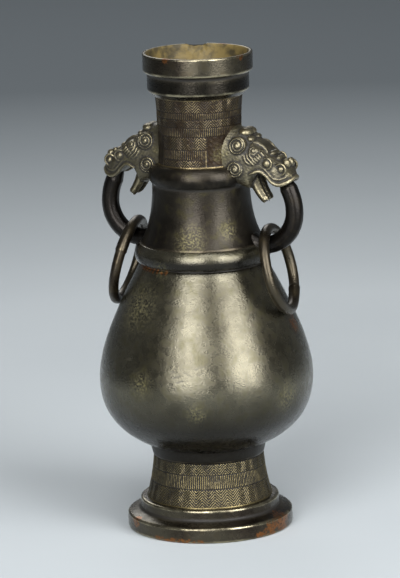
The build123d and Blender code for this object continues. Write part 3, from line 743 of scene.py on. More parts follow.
def chased_rows(rows):
    """Relief of stacked rows. In a chevron row the wave runs across height plus a zigzag, in a line row round
    the girth. Each row is given by its height from the top down and whether it has chevrons."""
    edges = np.concatenate([[0], np.cumsum([height for height, _ in rows])])
    kinds = np.array([chevron for _, chevron in rows])

    def lift(girth, drop, turns):
        across = girth * np.round(turns / CHEVRON_WIDTH)
        row = np.clip(np.searchsorted(edges, drop, "right") - 1, 0, len(kinds) - 1)
        zigzag = np.abs((across + 0.5 * (row % 2)) % 1 - 0.5) * CHEVRON_WIDTH * CHEVRON_STEEP
        chevrons = (drop - edges[row] + zigzag) / LINE_PITCH * CHEVRON_CLOSENESS
        lines = girth * np.round(turns / LINE_PITCH)
        wave = 0.5 + 0.5 * np.cos(2 * np.pi * np.where(kinds[row], chevrons, lines))
        inside = np.minimum(drop - edges[row], edges[row + 1] - drop)
        return wave**LINE_SHARPNESS * np.clip(inside / ROW_BORDER, 0, 1)

    return lift


print("lines about", LINE_PITCH, "mm apart")

# %% Panels and worn patches
PANEL_HALF = 57.0
PANEL_HEIGHT = 24.0
PANEL_FADE = 2
PANEL_LINE, PANEL_LINE_HALF, PANEL_LINE_RISE = 14.0, 1.1, 0.8
WORN_PATCH, WORN_USUAL, WORN_CHANGE = 13, 0.8, 0.4
PUNCH_MARK, PUNCH_RISE = 3.5, 0.04
PLAIN_INSET = 0.02


def plain_panel(still, floor):
    """Share, from 0 to 1, of the plain panel beside each handle, and the raised line at its upright edge."""
    swing = np.abs((np.degrees(np.arctan2(still[..., 1], still[..., 0])) + 90) % 180 - 90)
    rise = still[..., 2] - floor
    share = np.clip((PANEL_HALF - swing) / PANEL_FADE, 0, 1)
    share = share * np.clip((PANEL_HEIGHT - rise) / PANEL_FADE, 0, 1)
    line = np.exp(-(((swing - PANEL_HALF) / PANEL_LINE_HALF) ** 2))
    return share, line * np.clip((PANEL_LINE - rise) / PANEL_FADE, 0, 1)


def band_lift(rows, top, bottom, girth_r, seed, least, panels=False):
    """Lift of a chased band between two levels: worn down to a least share in seeded patches, and plain in
    its panels, if any."""
    pattern = chased_rows(rows)
    total = sum(height for height, _ in rows)

    def lift(still):
        girth = np.arctan2(still[..., 1], still[..., 0]) / (2 * np.pi) % 1
        drop = (top - still[..., 2]) / (top - bottom) * total
        worn = np.clip(WORN_USUAL + WORN_CHANGE * ripple(still, WORN_PATCH, seed), least, 1)
        height = worn * pattern(girth, drop, 2 * np.pi * girth_r)
        if panels:
            share, line = plain_panel(still, bottom)
            height = np.maximum(height * (1 - share), PANEL_LINE_RISE * line)
        outside = np.hypot(still[..., 0], still[..., 1]) > girth_r - WALL
        shown = outside & (drop > 0) & (drop < total)
        punched = PUNCH_RISE * ripple(still, PUNCH_MARK, seed + 1)
        return np.where(shown, LINE_RISE * (height - 1) + punched, -PLAIN_INSET)

    return lift


print("plain panels of", 2 * PANEL_HALF, "degrees and", PANEL_HEIGHT, "mm")

# %% [markdown]
# ## Chased neck
# The sleeve between the ridge and the mouth is slightly waisted. Seven rows of the pattern cover it, but
# beside each handle the caster left a plain panel with an upright line at its edge. The side is an arc
# through foot, waist and top, sampled finely enough for each line to have a flank.

# %% Chased neck
NECK_WAIST_R = 31.3
neck_rows = [(9.5, True), (4.8, False), (6.2, True), (7.0, False), (9.9, True), (7.3, False), (5.5, True)]
neck_waist = (NECK_WAIST_R, (Z_UPPER_NECK + Z_MOUTH) / 2)
neck_side = bead((NECK_FOOT_R, Z_UPPER_NECK), neck_waist, (NECK_R, Z_MOUTH))
chased_neck_outline = soft_outline([
    ([(NECK_FOOT_R, Z_UPPER_NECK - LAP), (NECK_FOOT_R, Z_UPPER_NECK)], 1.0), (neck_side, 0.36),
    ([(NECK_R, Z_MOUTH), (NECK_R, Z_MOUTH + LAP)], 1.0),
    ([(NECK_R, Z_MOUTH + LAP), (BORE_R, Z_MOUTH + LAP), (BORE_R, Z_UPPER_NECK - LAP),
      (NECK_FOOT_R, Z_UPPER_NECK - LAP)], 4.0),
], softness=0.25)
neck_lift = band_lift(neck_rows, top=Z_MOUTH - 0.4, bottom=Z_UPPER_NECK + 0.6, girth_r=NECK_WAIST_R,
                      seed=21, least=0.35, panels=True)
chased_neck_mesh = put_mesh("chased_neck", *turn_shell(chased_neck_outline, columns=610, lift=neck_lift))
dress("chased_neck", chased_neck_mesh, "vessel", "upper_neck", chased_bronze, turned=True)

# %% [markdown]
# ## Chased foot
# The foot flares down to the base with three taller rows of the same pattern, and without panels. The same
# lift makes it, so that both bands look as if one hand had cut them.

# %% Chased foot
FOOT_TOP_R = 41.5
FOOT_WAIST = 0.9
FOOT_WALL = 4.2
foot_rows = [(8.8, True), (10.6, False), (13.3, True)]
foot_middle = ((FOOT_TOP_R + FOOT_R) / 2 - FOOT_WAIST, (Z_FOOT + Z_COLLAR) / 2)
foot_side = bead((FOOT_R, Z_FOOT), foot_middle, (FOOT_TOP_R, Z_COLLAR))
foot_outline = soft_outline([
    ([(FOOT_R, Z_FOOT - LAP), (FOOT_R, Z_FOOT)], 1.0), (foot_side, 0.31),
    ([(FOOT_TOP_R, Z_COLLAR), (FOOT_TOP_R, Z_COLLAR + LAP)], 1.0),
    ([(FOOT_TOP_R, Z_COLLAR + LAP), (FOOT_TOP_R - FOOT_WALL, Z_COLLAR + LAP),
      (FOOT_R - FOOT_WALL, Z_FOOT - LAP), (FOOT_R, Z_FOOT - LAP)], 4.0),
], softness=0.25)
foot_lift = band_lift(foot_rows, top=Z_COLLAR - 0.3, bottom=Z_FOOT + 0.5, girth_r=foot_middle[0],
                      seed=31, least=0.75)
foot_mesh = put_mesh("chased_foot", *turn_shell(foot_outline, columns=780, lift=foot_lift))
dress("chased_foot", foot_mesh, "vessel", "foot_band", foot_bronze, turned=True)

# %% [markdown]
# ## Mouth, collar and base
# The mouth is two stepped bands with a flared lip, the collar is the plain band under the belly, and the base
# is a rim with a step. Each could be a stack of cylinders with bevels. Straight runs that the bell curve
# softens are shorter to write and leave no seams. The old lip has lost a chip at the far side, which is
# pressed into the sheet as a hollow with steep sides.

# %% Mouth rim
BAND_R = 37.9
BAND_HEIGHT = 16.5
BAND_TAPER = 4.2
BAND_FOOT_R = NECK_R + 0.7
LIP_TAPER = 1.9
LIP_WALL = 3.2
LIP_ROUND = 0.7
LIP_INNER_R = LIP_R - LIP_WALL
Z_LIP = Z_MOUTH + BAND_HEIGHT
Z_FLARE_PULL = Z_LIP - 4
Z_BORE = Z_MOUTH + 8.5
mouth_flare = bow((LIP_INNER_R, Z_TOP - LIP_ROUND), (LIP_INNER_R - LIP_ROUND, Z_FLARE_PULL),
                  (BORE_R, Z_FLARE_PULL), (BORE_R, Z_BORE))
mouth_outline = soft_outline([
    ([(BORE_R, Z_MOUTH), (BAND_FOOT_R, Z_MOUTH), (BAND_R, Z_MOUTH + BAND_TAPER), (BAND_R, Z_LIP),
      (LIP_R, Z_LIP + LIP_TAPER), (LIP_R, Z_TOP), (LIP_INNER_R, Z_TOP)], 0.75),
    (mouth_flare, 1.5),
    ([(BORE_R, Z_BORE), (BORE_R, Z_MOUTH)], 3.0),
], softness=0.55)
mouth_skin = cast_skin(depth=0.08, seed=41, chips=[spot(LIP_INNER_R, 180, Z_TOP, 8.0)])
mouth_mesh = put_mesh("mouth_bands", *turn_shell(mouth_outline, columns=330, lift=mouth_skin))
dress("mouth_bands", mouth_mesh, "vessel", "mouth_rim", rim_bronze, turned=True)

# %% Foot collar
COLLAR_FOOT_R = 41.9
COLLAR_BORE_R = 29.0
collar_outline = soft_outline([
    ([(COLLAR_FOOT_R, Z_COLLAR), (COLLAR_R, Z_BELLY), (COLLAR_R, Z_BELLY + LAP)], 0.7),
    ([(COLLAR_R, Z_BELLY + LAP), (COLLAR_BORE_R, Z_BELLY + LAP), (COLLAR_BORE_R, Z_COLLAR),
      (COLLAR_FOOT_R, Z_COLLAR)], 3.0),
], softness=0.4)
collar_skin = cast_skin(depth=0.05, seed=51)
collar_mesh = put_mesh("foot_collar_band", *turn_shell(collar_outline, columns=300, lift=collar_skin))
dress("foot_collar_band", collar_mesh, "vessel", "foot_collar", neck_bronze, turned=True)

# %% Stepped base
RIM_HEIGHT = 12.0
RIM_ROUND, RIM_DROP, RIM_CHAMFER = 1.4, 1.0, 0.7
SLOPE_PULL_IN, SLOPE_PULL_UP = 4.6, 1.0
STEP_LEVEL = 15.0
STEP_R = 52.3
STEP_ROUND, STEP_DROP = 1.2, 1.0
STAND_R = 55.0
SEAT_R = FOOT_R - 1.5
BASE_BORE_R = FOOT_R - FOOT_WALL - 2.6
base_slope = bow((BASE_R - RIM_ROUND, RIM_HEIGHT), (BASE_R - SLOPE_PULL_IN, RIM_HEIGHT + SLOPE_PULL_UP),
                 (STEP_R + STEP_ROUND, STEP_LEVEL - STEP_ROUND), (STEP_R, STEP_LEVEL))
base_outline = soft_outline([
    ([(STAND_R, 0), (BASE_R - RIM_CHAMFER, 0), (BASE_R, RIM_CHAMFER), (BASE_R, RIM_HEIGHT - RIM_DROP),
      (BASE_R - RIM_ROUND, RIM_HEIGHT)], 0.75),
    (base_slope, 0.75),
    ([(STEP_R, STEP_LEVEL), (STEP_R, Z_FOOT - STEP_DROP), (STEP_R - STEP_ROUND, Z_FOOT),
      (SEAT_R, Z_FOOT)], 0.75),
    ([(SEAT_R, Z_FOOT), (BASE_BORE_R, Z_FOOT), (BASE_BORE_R, Z_FOOT - FOOT_WALL),
      (STAND_R, RIM_HEIGHT - FOOT_WALL), (STAND_R, 0)], 3.0),
], softness=0.45)
base_skin = cast_skin(depth=0.1, seed=61)
base_mesh = put_mesh("stepped_base", *turn_shell(base_outline, columns=420, lift=base_skin))
dress("stepped_base", base_mesh, "vessel", "foot_base", rim_bronze, turned=True)

# %% [markdown]
# ## Handle bars
# Each bar comes out of the beast's mouth like a thick stalk, bends down and curls back to the neck. Its line
# is two arcs, and a round section with eight faint facets is carried along it. A curve object with bevel and
# taper shapes could be used, but here the facets, the swelling of a hand-made wax model and the lug where the
# bar meets the neck are each one line of numbers. The left bar is the right one with X turned round, so its
# faces are reversed to point out.

# %% Path helpers
SIDEWAYS = np.array([0.0, 1.0, 0.0])


def tube(path, radii, across, sides):
    """Round section along a path: at each point a ring spanned by the across direction and its normal."""
    along = np.gradient(path, axis=0)
    along /= np.linalg.norm(along, axis=1, keepdims=True)
    first = across - along * (along @ across)[:, None]
    first /= np.linalg.norm(first, axis=1, keepdims=True)
    second = np.cross(along, first)
    angle = np.linspace(0, 2 * np.pi, sides, endpoint=False)
    ring = first[:, None] * np.cos(angle)[:, None] + second[:, None] * np.sin(angle)[:, None]
    return path[:, None] + ring * np.reshape(radii, (len(path), -1, 1))


def mirrored(points, quads):
    """The same piece on the other side: X turned round, and each quad's corners in reverse."""
    return points * [-1, 1, 1], quads[:, ::-1]


def both_sides(name, points, quads, body, node, material):
    """Make the right piece and its mirror image on the left."""
    made = {"right": (points, quads), "left": mirrored(points, quads)}
    for side, shape in made.items():
        mesh = put_mesh(side + name, *shape)
        close_poles(mesh)
        dress(side + name, mesh, body, side + node, material)


BAR_R = span("right_handle_loop", 1, 1)
BAR_REACH = span("right_handle_loop", 0, 1) - BAR_R
CROWN_R = 38.0
CURL_R = 26.0
BAR_LEVEL = span("right_handle_loop", 2, 0) + BAR_R + CURL_R
print("bar", round(2 * BAR_R, 1), "mm thick, curls at", round(BAR_LEVEL, 1), "mm")

# %% Handle bars
CROWN_START, CURL_END = 45, 118
CROWN_ROWS, CURL_ROWS = 60, 130
BAR_SIDES, BAR_FACETS, FACET_DEPTH = 64, 8, 0.02
MOUTH_TAPER, NECK_TAPER = 0.12, 0.03
LUG_SWELL, LUG_START, LUG_LENGTH = 0.2, 0.84, 0.1
BAR_USUAL, BAR_SWELL, BAR_SWELLS, BAR_SWELL_START = 0.955, 0.02, 1.7, 0.1
crown_turn = np.radians(np.linspace(CROWN_START, 0, CROWN_ROWS))
curl_turn = np.radians(np.linspace(0, CURL_END, CURL_ROWS))[1:]
bar_line = np.concatenate([
    np.stack([BAR_REACH - CROWN_R + CROWN_R * np.cos(crown_turn), 0 * crown_turn,
              BAR_LEVEL + CROWN_R * np.sin(crown_turn)], 1),
    np.stack([BAR_REACH - CURL_R + CURL_R * np.cos(curl_turn), 0 * curl_turn,
              BAR_LEVEL - CURL_R * np.sin(curl_turn)], 1),
])
bar_share = np.linspace(0, 1, len(bar_line))
bar_ends = np.sqrt(np.clip(np.minimum(bar_share / MOUTH_TAPER, (1 - bar_share) / NECK_TAPER), 0, 1))
bar_lug = LUG_SWELL * np.clip((bar_share - LUG_START) / LUG_LENGTH, 0, 1) ** 2
bar_wave = np.cos(2 * np.pi * (bar_share * BAR_SWELLS + BAR_SWELL_START))
bar_swell = BAR_USUAL + BAR_SWELL * bar_wave + bar_lug
bar_turn = np.linspace(0, 2 * np.pi, BAR_SIDES, endpoint=False)
bar_facets = 1 - FACET_DEPTH * (1 + np.cos(BAR_FACETS * bar_turn)) / 2
bar_radii = (BAR_R * bar_ends * bar_swell)[:, None] * bar_facets
bar_points = tube(bar_line, bar_radii, SIDEWAYS, BAR_SIDES).reshape(-1, 3)
bar_quads = wrap_quads(len(bar_line), BAR_SIDES, close_rows=False)
both_sides("_bar", bar_points, bar_quads, "vessel", "_handle_loop", bar_bronze)

# %% [markdown]
# ## Loose rings
# The rings are bent rods whose ends were hammered together over each other, so they are not quite round, and
# the joint is a wedge: thick at a step, then thinning out. Blender's own torus is too perfect for that. A
# ring that is a function of two turns, round the ring and round the rod, can carry it all. Each ring takes
# its place and turn from its own joint and solid.

# %% Rings
RING_STEPS, ROD_STEPS = 300, 40
WEDGE_STARTS = {"right": 0.9, "left": -1.94}
WEDGE_LENGTH, WEDGE_STEP, WEDGE_SWELL = 0.9, 0.05, 0.11
ROD_USUAL, ROD_SWELL, ROD_FLATS = 0.88, 0.025, 0.02
SLOW_WAVER, QUICK_WAVER = 0.7, 0.4
ring_turn = np.linspace(0, 2 * np.pi, RING_STEPS, endpoint=False)
rod_turn = np.linspace(0, 2 * np.pi, ROD_STEPS, endpoint=False)


def loose_ring(side, joint):
    """Torus round the solid's centre, worked out on the right. The ring's radius wavers, most at the bottom,
    and its rod has a wedge and faint flats."""
    flip = np.array([1.0 if side == "right" else -1.0, 1.0, 1.0])
    low, high = [np.array(corner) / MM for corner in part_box(side + "_ring")]
    centre = flip * (low + high) / 2
    seat = flip * np.array(joint["pos_m"]) / MM
    radius = np.linalg.norm(centre - seat)
    down = (centre - seat) / radius
    sideways = np.cross([0.0, 0.0, 1.0], down)
    sideways /= np.linalg.norm(sideways)
    facing = np.cross(sideways, down)
    thickness = (high[1] - low[1]) / 2 - radius * np.sqrt(1 - facing[1] ** 2)
    past = (WEDGE_STARTS[side] - ring_turn) % (2 * np.pi)
    wedge = np.clip(past / WEDGE_STEP, 0, 1) * np.clip(1 - past / WEDGE_LENGTH, 0, 1)
    rod = thickness * (ROD_USUAL + ROD_SWELL * np.cos(3 * ring_turn + 1) + WEDGE_SWELL * wedge)
    rod = rod[:, None] * (1 - ROD_FLATS * (1 + np.cos(4 * rod_turn + 2 * ring_turn[:, None])))
    waver = SLOW_WAVER * np.cos(2 * ring_turn + 0.8) + QUICK_WAVER * np.cos(5 * ring_turn)
    waver = waver * (1 + np.cos(ring_turn)) / 2
    outward = down * np.cos(ring_turn)[:, None] + sideways * np.sin(ring_turn)[:, None]
    points = centre + outward[:, None] * ((radius + waver)[:, None] + rod * np.cos(rod_turn))[..., None]
    points = (points + facing * (rod * np.sin(rod_turn))[..., None]).reshape(-1, 3)
    quads = wrap_quads(RING_STEPS, ROD_STEPS)
    print(side, "ring of", round(2 * radius, 1), "mm, rod", round(2 * thickness, 1), "mm")
    return (points, quads) if side == "right" else mirrored(points, quads)


for side, joint in zip(("right", "left"), frame["record"]["behaviour"]["joints"]):
    ring_mesh = put_mesh(side + "_loose_ring", *loose_ring(side, joint))
    dress(side + "_loose_ring", ring_mesh, side + "_ring_body", side + "_ring", ring_bronze)

# %% [markdown]
# ## Beast heads
# The heads take the most skill. Each was modelled in wax, with coiled spirals on its cheeks, a curled lip,
# ringed eyes and nostrils, and chiselled lashes. They could be sculpted by hand, but a script could not
# repeat that. Here every form is worked out as its own closed surface: lofted sections for skull and jaw,
# tubes for lip and rims, round bosses for spirals. Sizes are counted from the vase's axis (reach), its
# middle plane (aside) and the top of the upper ridge (rise).

# %% Shape helpers for the heads
EGG_ROWS, EGG_SIDES = 17, 28
EYE_RING_STEPS, EYE_ROD_STEPS = 40, 14


def curve_through(knots, count):
    """Smooth curve through knots: cubic Hermite pieces with the mean slope at each knot."""
    knots = np.array(knots, float)
    at = np.concatenate([[0], np.cumsum(np.linalg.norm(np.diff(knots, axis=0), axis=1))])
    slope = np.gradient(knots, at, axis=0)
    place = np.linspace(0, at[-1], count)
    k = np.clip(np.searchsorted(at, place, "right") - 1, 0, len(at) - 2)
    gap = (at[k + 1] - at[k])[:, None]
    s = (place[:, None] - at[k, None]) / gap
    ease = 3 * s**2 - 2 * s**3
    return (knots[k] * (1 - ease) + knots[k + 1] * ease
            + gap * (slope[k] * s * (1 - s) ** 2 - slope[k + 1] * s**2 * (1 - s)))


def bulge(angle, power):
    """Coordinates of a squared circle: cosine and sine raised to a power, with their signs kept."""
    return [np.sign(wave) * np.abs(wave) ** power for wave in (np.cos(angle), np.sin(angle))]


def closed_rows(points):
    """Quads of rows of rings whose first and last ring are drawn together to a point."""
    points = points.copy()
    points[0], points[-1] = points[0].mean(0), points[-1].mean(0)
    return points.reshape(-1, 3), wrap_quads(*points.shape[:2], close_rows=False)


def rounded_tube(knots, radii, count=60, sides=20, across=(0.0, 1.0, 0.02)):
    """Tube along a smooth curve through knots, its radius eased between the radii given at the knots."""
    both = curve_through(np.column_stack([knots, radii]), count)
    return closed_rows(tube(both[:, :3], both[:, 3], np.array(across), sides))


def egg(centre, radii):
    """Ellipsoid: rings of latitude scaled by three radii round a centre."""
    latitude = np.linspace(-np.pi / 2, np.pi / 2, EGG_ROWS)[:, None]
    longitude = np.linspace(0, 2 * np.pi, EGG_SIDES, endpoint=False)[None]
    ball = np.stack([np.cos(latitude) * np.cos(longitude), np.cos(latitude) * np.sin(longitude),
                     np.sin(latitude) + 0 * longitude], -1)
    return closed_rows(np.array(centre) + ball * np.array(radii))


def ring_round(centre, radius, thickness):
    """Raised ring that faces sideways: a tube round a circle in the plane of reach and rise."""
    angle = np.linspace(0, 2 * np.pi, EYE_RING_STEPS, endpoint=False)
    spoke = np.stack([np.cos(angle), 0 * angle, np.sin(angle)], 1)
    middle = np.array(centre) + radius * spoke
    turn = np.linspace(0, 2 * np.pi, EYE_ROD_STEPS, endpoint=False)
    rod = spoke[:, None] * np.cos(turn)[:, None] + SIDEWAYS * np.sin(turn)[:, None]
    points = middle[:, None] + thickness * rod
    return points.reshape(-1, 3), wrap_quads(EYE_RING_STEPS, EYE_ROD_STEPS)[:, ::-1]


print("head shapes: tubes, eggs, rings and lofts")

# %% Coiled bosses
BOSS_ROWS, BOSS_SIDES = 46, 96
BOSS_MIDDLE, BOSS_EDGE = 0.02, 0.5
KNOB_SHARE, KNOB_RISE, EDGE_DROP = 0.34, 1.8, 0.6


def coiled_boss(reach, aside, rise, radius, pitch, coil, tilt, depth=7.0):
    """Round boss on a cheek: on a polar grid its face rises and falls with radius over pitch minus one turn,
    which draws a spiral, and a knob stands in the middle. Its back closes inside the head, and the whole boss
    is tilted up about the line of reach."""
    out = np.linspace(BOSS_MIDDLE, 1, BOSS_ROWS)[:, None] * radius
    angle = np.linspace(0, 2 * np.pi, BOSS_SIDES, endpoint=False)[None]
    wave = 0.5 + 0.5 * np.cos(2 * np.pi * out / pitch - angle)
    knob = np.exp(-((out / (KNOB_SHARE * radius)) ** 2))
    edge = np.clip((radius - out) / BOSS_EDGE, 0, 1)
    face = coil * wave * (1 - knob) * edge + KNOB_RISE * coil * knob - EDGE_DROP * coil * (1 - edge)
    out = np.concatenate([out + 0 * angle, radius + 0 * angle, BOSS_MIDDLE * radius + 0 * angle])
    face = np.concatenate([face, -depth + 0 * angle, -depth + 0 * angle])
    lean, above = np.radians(tilt), out * np.sin(angle)
    points = np.stack([
        reach + out * np.cos(angle),
        aside + face * np.cos(lean) - above * np.sin(lean),
        rise + face * np.sin(lean) + above * np.cos(lean),
    ], -1)
    points, quads = closed_rows(points)
    return points, quads[:, ::-1]


print("bosses of", BOSS_ROWS, "by", BOSS_SIDES, "points")

# %% [markdown]
# ## Skull and jaw
# The skull grows out of the neck, arches over the open mouth and drops to the snout. A loft suits it: a table
# gives its underside, top and width at some reaches, and a smooth curve fills in the rows between. The back
# rows are bent round the neck, so that the head seems cast onto it. The jaw is a ribbed tongue of metal.

# %% Skull
# Rows of the skull: reach, rise of its underside, rise of its top, half width. The first lie on the neck.
SKULL_KNOTS = [
    (28.6, -12.0, 29.5, 18.0), (32.0, -13.0, 28.4, 17.6), (35.0, -14.0, 27.4, 17.3),
    (38.5, -15.5, 26.8, 17.1), (41.5, -16.8, 25.0, 16.9), (44.2, -16.8, 21.4, 16.7),
    (47.5, -9.5, 19.6, 16.4), (50.0, -4.6, 18.6, 16.0), (54.0, -3.0, 16.4, 15.2),
    (58.0, -5.2, 12.6, 14.4), (62.0, -9.6, 8.8, 13.6), (66.5, -12.2, 5.6, 12.8),
    (71.0, -12.2, 3.2, 10.8), (74.0, -10.8, -1.4, 8.2), (76.4, -8.8, -5.0, 4.8),
]
SKULL_ROWS, SKULL_SIDES = 130, 80
TOP_POWER, TOP_TAPER = 0.8, 0.2
UNDER_POWER, MOUTH_SQUARING = 0.62, 0.27
MOUTH_START, MOUTH_EASE = 46, 4
NECK_WRAP_R = 30.0
WRAP_END, WRAP_EASE = 44, 11
CHEEK_MOST = 0.98
skull_rows = curve_through(SKULL_KNOTS, SKULL_ROWS)
skull_reach, skull_low, skull_high, skull_wide = skull_rows.T[..., None]
skull_turn = np.linspace(0, 2 * np.pi, SKULL_SIDES, endpoint=False)
under_power = UNDER_POWER - MOUTH_SQUARING * np.clip((skull_reach - MOUTH_START) / MOUTH_EASE, 0, 1)
skull_side, skull_rise = bulge(skull_turn, np.where(np.sin(skull_turn) >= 0, TOP_POWER, under_power))
skull_aside = skull_wide * skull_side * (1 - TOP_TAPER * np.clip(skull_rise, 0, 1) ** 2)
wrap = np.sqrt(NECK_WRAP_R**2 - skull_aside**2) - NECK_WRAP_R
skull = np.stack([
    skull_reach + wrap * np.clip((WRAP_END - skull_reach) / WRAP_EASE, 0, 1),
    skull_aside,
    (skull_low + skull_high) / 2 + (skull_high - skull_low) / 2 * skull_rise,
], -1)


def on_cheek(reach, rise, sink=0.0):
    """Point of the skull's side at a reach and a rise, moved in by a sink."""
    low, high, wide = [np.interp(reach, skull_rows[:, 0], skull_rows[:, k]) for k in (1, 2, 3)]
    share = np.clip((2 * rise - low - high) / (high - low), 0, CHEEK_MOST)
    narrow = (1 - share ** (2 / TOP_POWER)) ** (TOP_POWER / 2) * (1 - TOP_TAPER * share**2)
    return reach, wide * narrow - sink, rise


print("skull of", skull.shape[0], "rows by", skull.shape[1], "points")

# %% Jaw
JAW_KNOTS = [(44.0, 0, -7.5), (46.4, 0, -12.5), (49.2, 0, -18.0), (52.4, 0, -23.0), (55.0, 0, -26.2)]
JAW_PLACES = [0, 0.5, 0.9, 1]
JAW_WIDTHS, JAW_DEPTHS = [8.4, 8.0, 7.6, 6.6], [4.4, 3.4, 2.8, 1.9]
JAW_ROWS, JAW_SIDES, JAW_POWER = 60, 96, 0.7
RIB_RISE, RIB_WAVES = 0.26, 3
LOBE_LENGTH, LOBE_WAVES, LOBE_POWER = 0.9, 1.6, 6
jaw_line = curve_through(JAW_KNOTS, JAW_ROWS)
jaw_share = np.linspace(0, 1, JAW_ROWS)
jaw_width = np.interp(jaw_share, JAW_PLACES, JAW_WIDTHS)[:, None]
jaw_depth = np.interp(jaw_share, JAW_PLACES, JAW_DEPTHS)[:, None]
jaw_slope = np.gradient(jaw_line, axis=0)
jaw_slope /= np.linalg.norm(jaw_slope, axis=1, keepdims=True)
jaw_normal = np.stack([-jaw_slope[:, 2], 0 * jaw_slope[:, 0], jaw_slope[:, 0]], 1)
jaw_side, jaw_deep = bulge(np.linspace(0, 2 * np.pi, JAW_SIDES, endpoint=False), JAW_POWER)
jaw_ribs = 1 + RIB_RISE * np.cos(RIB_WAVES * np.pi * jaw_side)
jaw_lobes = -LOBE_LENGTH * jaw_share[:, None] ** LOBE_POWER * np.cos(LOBE_WAVES * np.pi * jaw_side)
jaw = (jaw_line[:, None] + SIDEWAYS * (jaw_width * jaw_side)[..., None]
       + jaw_normal[:, None] * (jaw_depth * jaw_deep * jaw_ribs)[..., None]
       + jaw_slope[:, None] * jaw_lobes[..., None])
print("jaw of", jaw.shape[0], "rows by", jaw.shape[1], "points")

# %% [markdown]
# ## Features of a head
# Lip, folds, brows, eyes, nostrils, lashes and horn knobs are laid on the skull. Brows, eyes, nostrils, cheek
# lines and lashes are set on the cheek by reach and rise, so that they stay on the skull when its table
# changes. The features of one side are made once and mirrored in the head's middle plane.

# %% Features of one side
LIP_KNOTS = [
    (46.4, 16.6, -4.8), (49.5, 16.1, -3.6), (54.0, 14.5, -2.4), (59.0, 13.3, -5.4), (63.0, 12.6, -10.0),
    (67.6, 11.9, -12.2), (72.6, 9.6, -11.2), (76.0, 5.2, -8.8), (77.2, 0.0, -7.4),
]
LIP_RADII = [0.45, 0.9, 1.3, 1.5, 1.6, 1.6, 1.6, 1.6, 1.6]
LIP_ROWS = 160
FOLD_KNOTS = [
    (57.0, 14.4, 0.4), (60.8, 13.7, -3.4), (64.6, 13.0, -7.4), (69.0, 11.8, -8.2), (73.6, 8.8, -6.6),
]
FOLD_RADII = [0.4, 0.6, 0.65, 0.6, 0.4]
BROW_KNOTS = [(46.6, 17.6, 0.9), (51.0, 16.8, 1.0), (55.4, 14.0, 0.9), (58.6, 10.6, 0.5)]
BROW_RADII = [1.0, 1.6, 1.5, 0.8]
EYE, NOSTRIL = (59.8, 3.6), (69.6, -0.8)
CHEEK_KNOTS = [(42.8, 9.0), (44.6, 5.0), (48.6, 2.4)]
CHEEK_RADII = [0.45, 0.75, 0.45]
CHEEK_STEPS = (0.0, 1.7, 3.4)
LASHES, LASH_HALF, LASH_PROUD = 6, 1.6, 0.3
LASH_START, LASH_RUN = (49.4, 3.8), (7.0, 6.6)
LASH_RADII = [0.55, 0.8, 0.55]
side_shapes = [
    coiled_boss(37.3, 15.2, 16.2, radius=6.7, pitch=2.2, coil=1.3, tilt=14.0),
    coiled_boss(35.8, 17.2, -1.2, radius=6.2, pitch=2.1, coil=1.3, tilt=2.0),
    coiled_boss(49.6, 13.6, 12.8, radius=3.6, pitch=1.8, coil=0.9, tilt=32.0, depth=4.0),
    egg(on_cheek(*EYE, 0.9), (3.1, 3.0, 3.0)),
    ring_round(on_cheek(*EYE, 0.3), radius=4.0, thickness=0.85),
    egg(on_cheek(*NOSTRIL, 0.9), (2.6, 2.8, 2.6)),
    ring_round(on_cheek(*NOSTRIL, 0.2), radius=4.0, thickness=0.95),
    egg((71.6, 3.7, 2.6), (3.2, 3.3, 3.7)),
    egg((39.2, 3.4, 24.2), (5.4, 6.4, 3.5)),
    egg((44.6, 5.6, 20.0), (3.0, 4.6, 2.4)),
    egg((60.6, 2.4, 9.6), (2.7, 4.4, 2.3)),
    egg((65.2, 2.0, 6.4), (2.2, 3.6, 1.8)),
    rounded_tube([on_cheek(*knot) for knot in BROW_KNOTS], BROW_RADII),
    rounded_tube(FOLD_KNOTS, FOLD_RADII),
]
for step in CHEEK_STEPS:
    cheek_line = [on_cheek(reach + step, rise + step) for reach, rise in CHEEK_KNOTS]
    side_shapes.append(rounded_tube(cheek_line, CHEEK_RADII))
for stroke in np.linspace(0, 1, LASHES):
    reach, rise = LASH_START[0] + LASH_RUN[0] * stroke, LASH_START[1] + LASH_RUN[1] * stroke
    lash = [on_cheek(reach + way, rise - way, -LASH_PROUD) for way in (LASH_HALF, 0.0, -LASH_HALF)]
    side_shapes.append(rounded_tube(lash, LASH_RADII, count=16, sides=10, across=(0.6, 0.8, 0.1)))
lip_half = np.array(LIP_KNOTS)
lip_knots = np.concatenate([lip_half, lip_half[-2::-1] * [1, -1, 1]])
lip_radii = LIP_RADII + LIP_RADII[-2::-1]
middle_shapes = [closed_rows(skull), closed_rows(jaw), rounded_tube(lip_knots, lip_radii, count=LIP_ROWS)]
print("features", len(side_shapes), "on each side and", len(middle_shapes), "in the middle")

# %% [markdown]
# ## One skin
# In wax the features were pressed on and smoothed over. A Remesh modifier does the same: it melts the closed
# surfaces into one skin of small cells, and a Smooth modifier takes the facets away. A Boolean modifier would
# keep every sharp seam. A slight ripple stands for the grain of the wax.

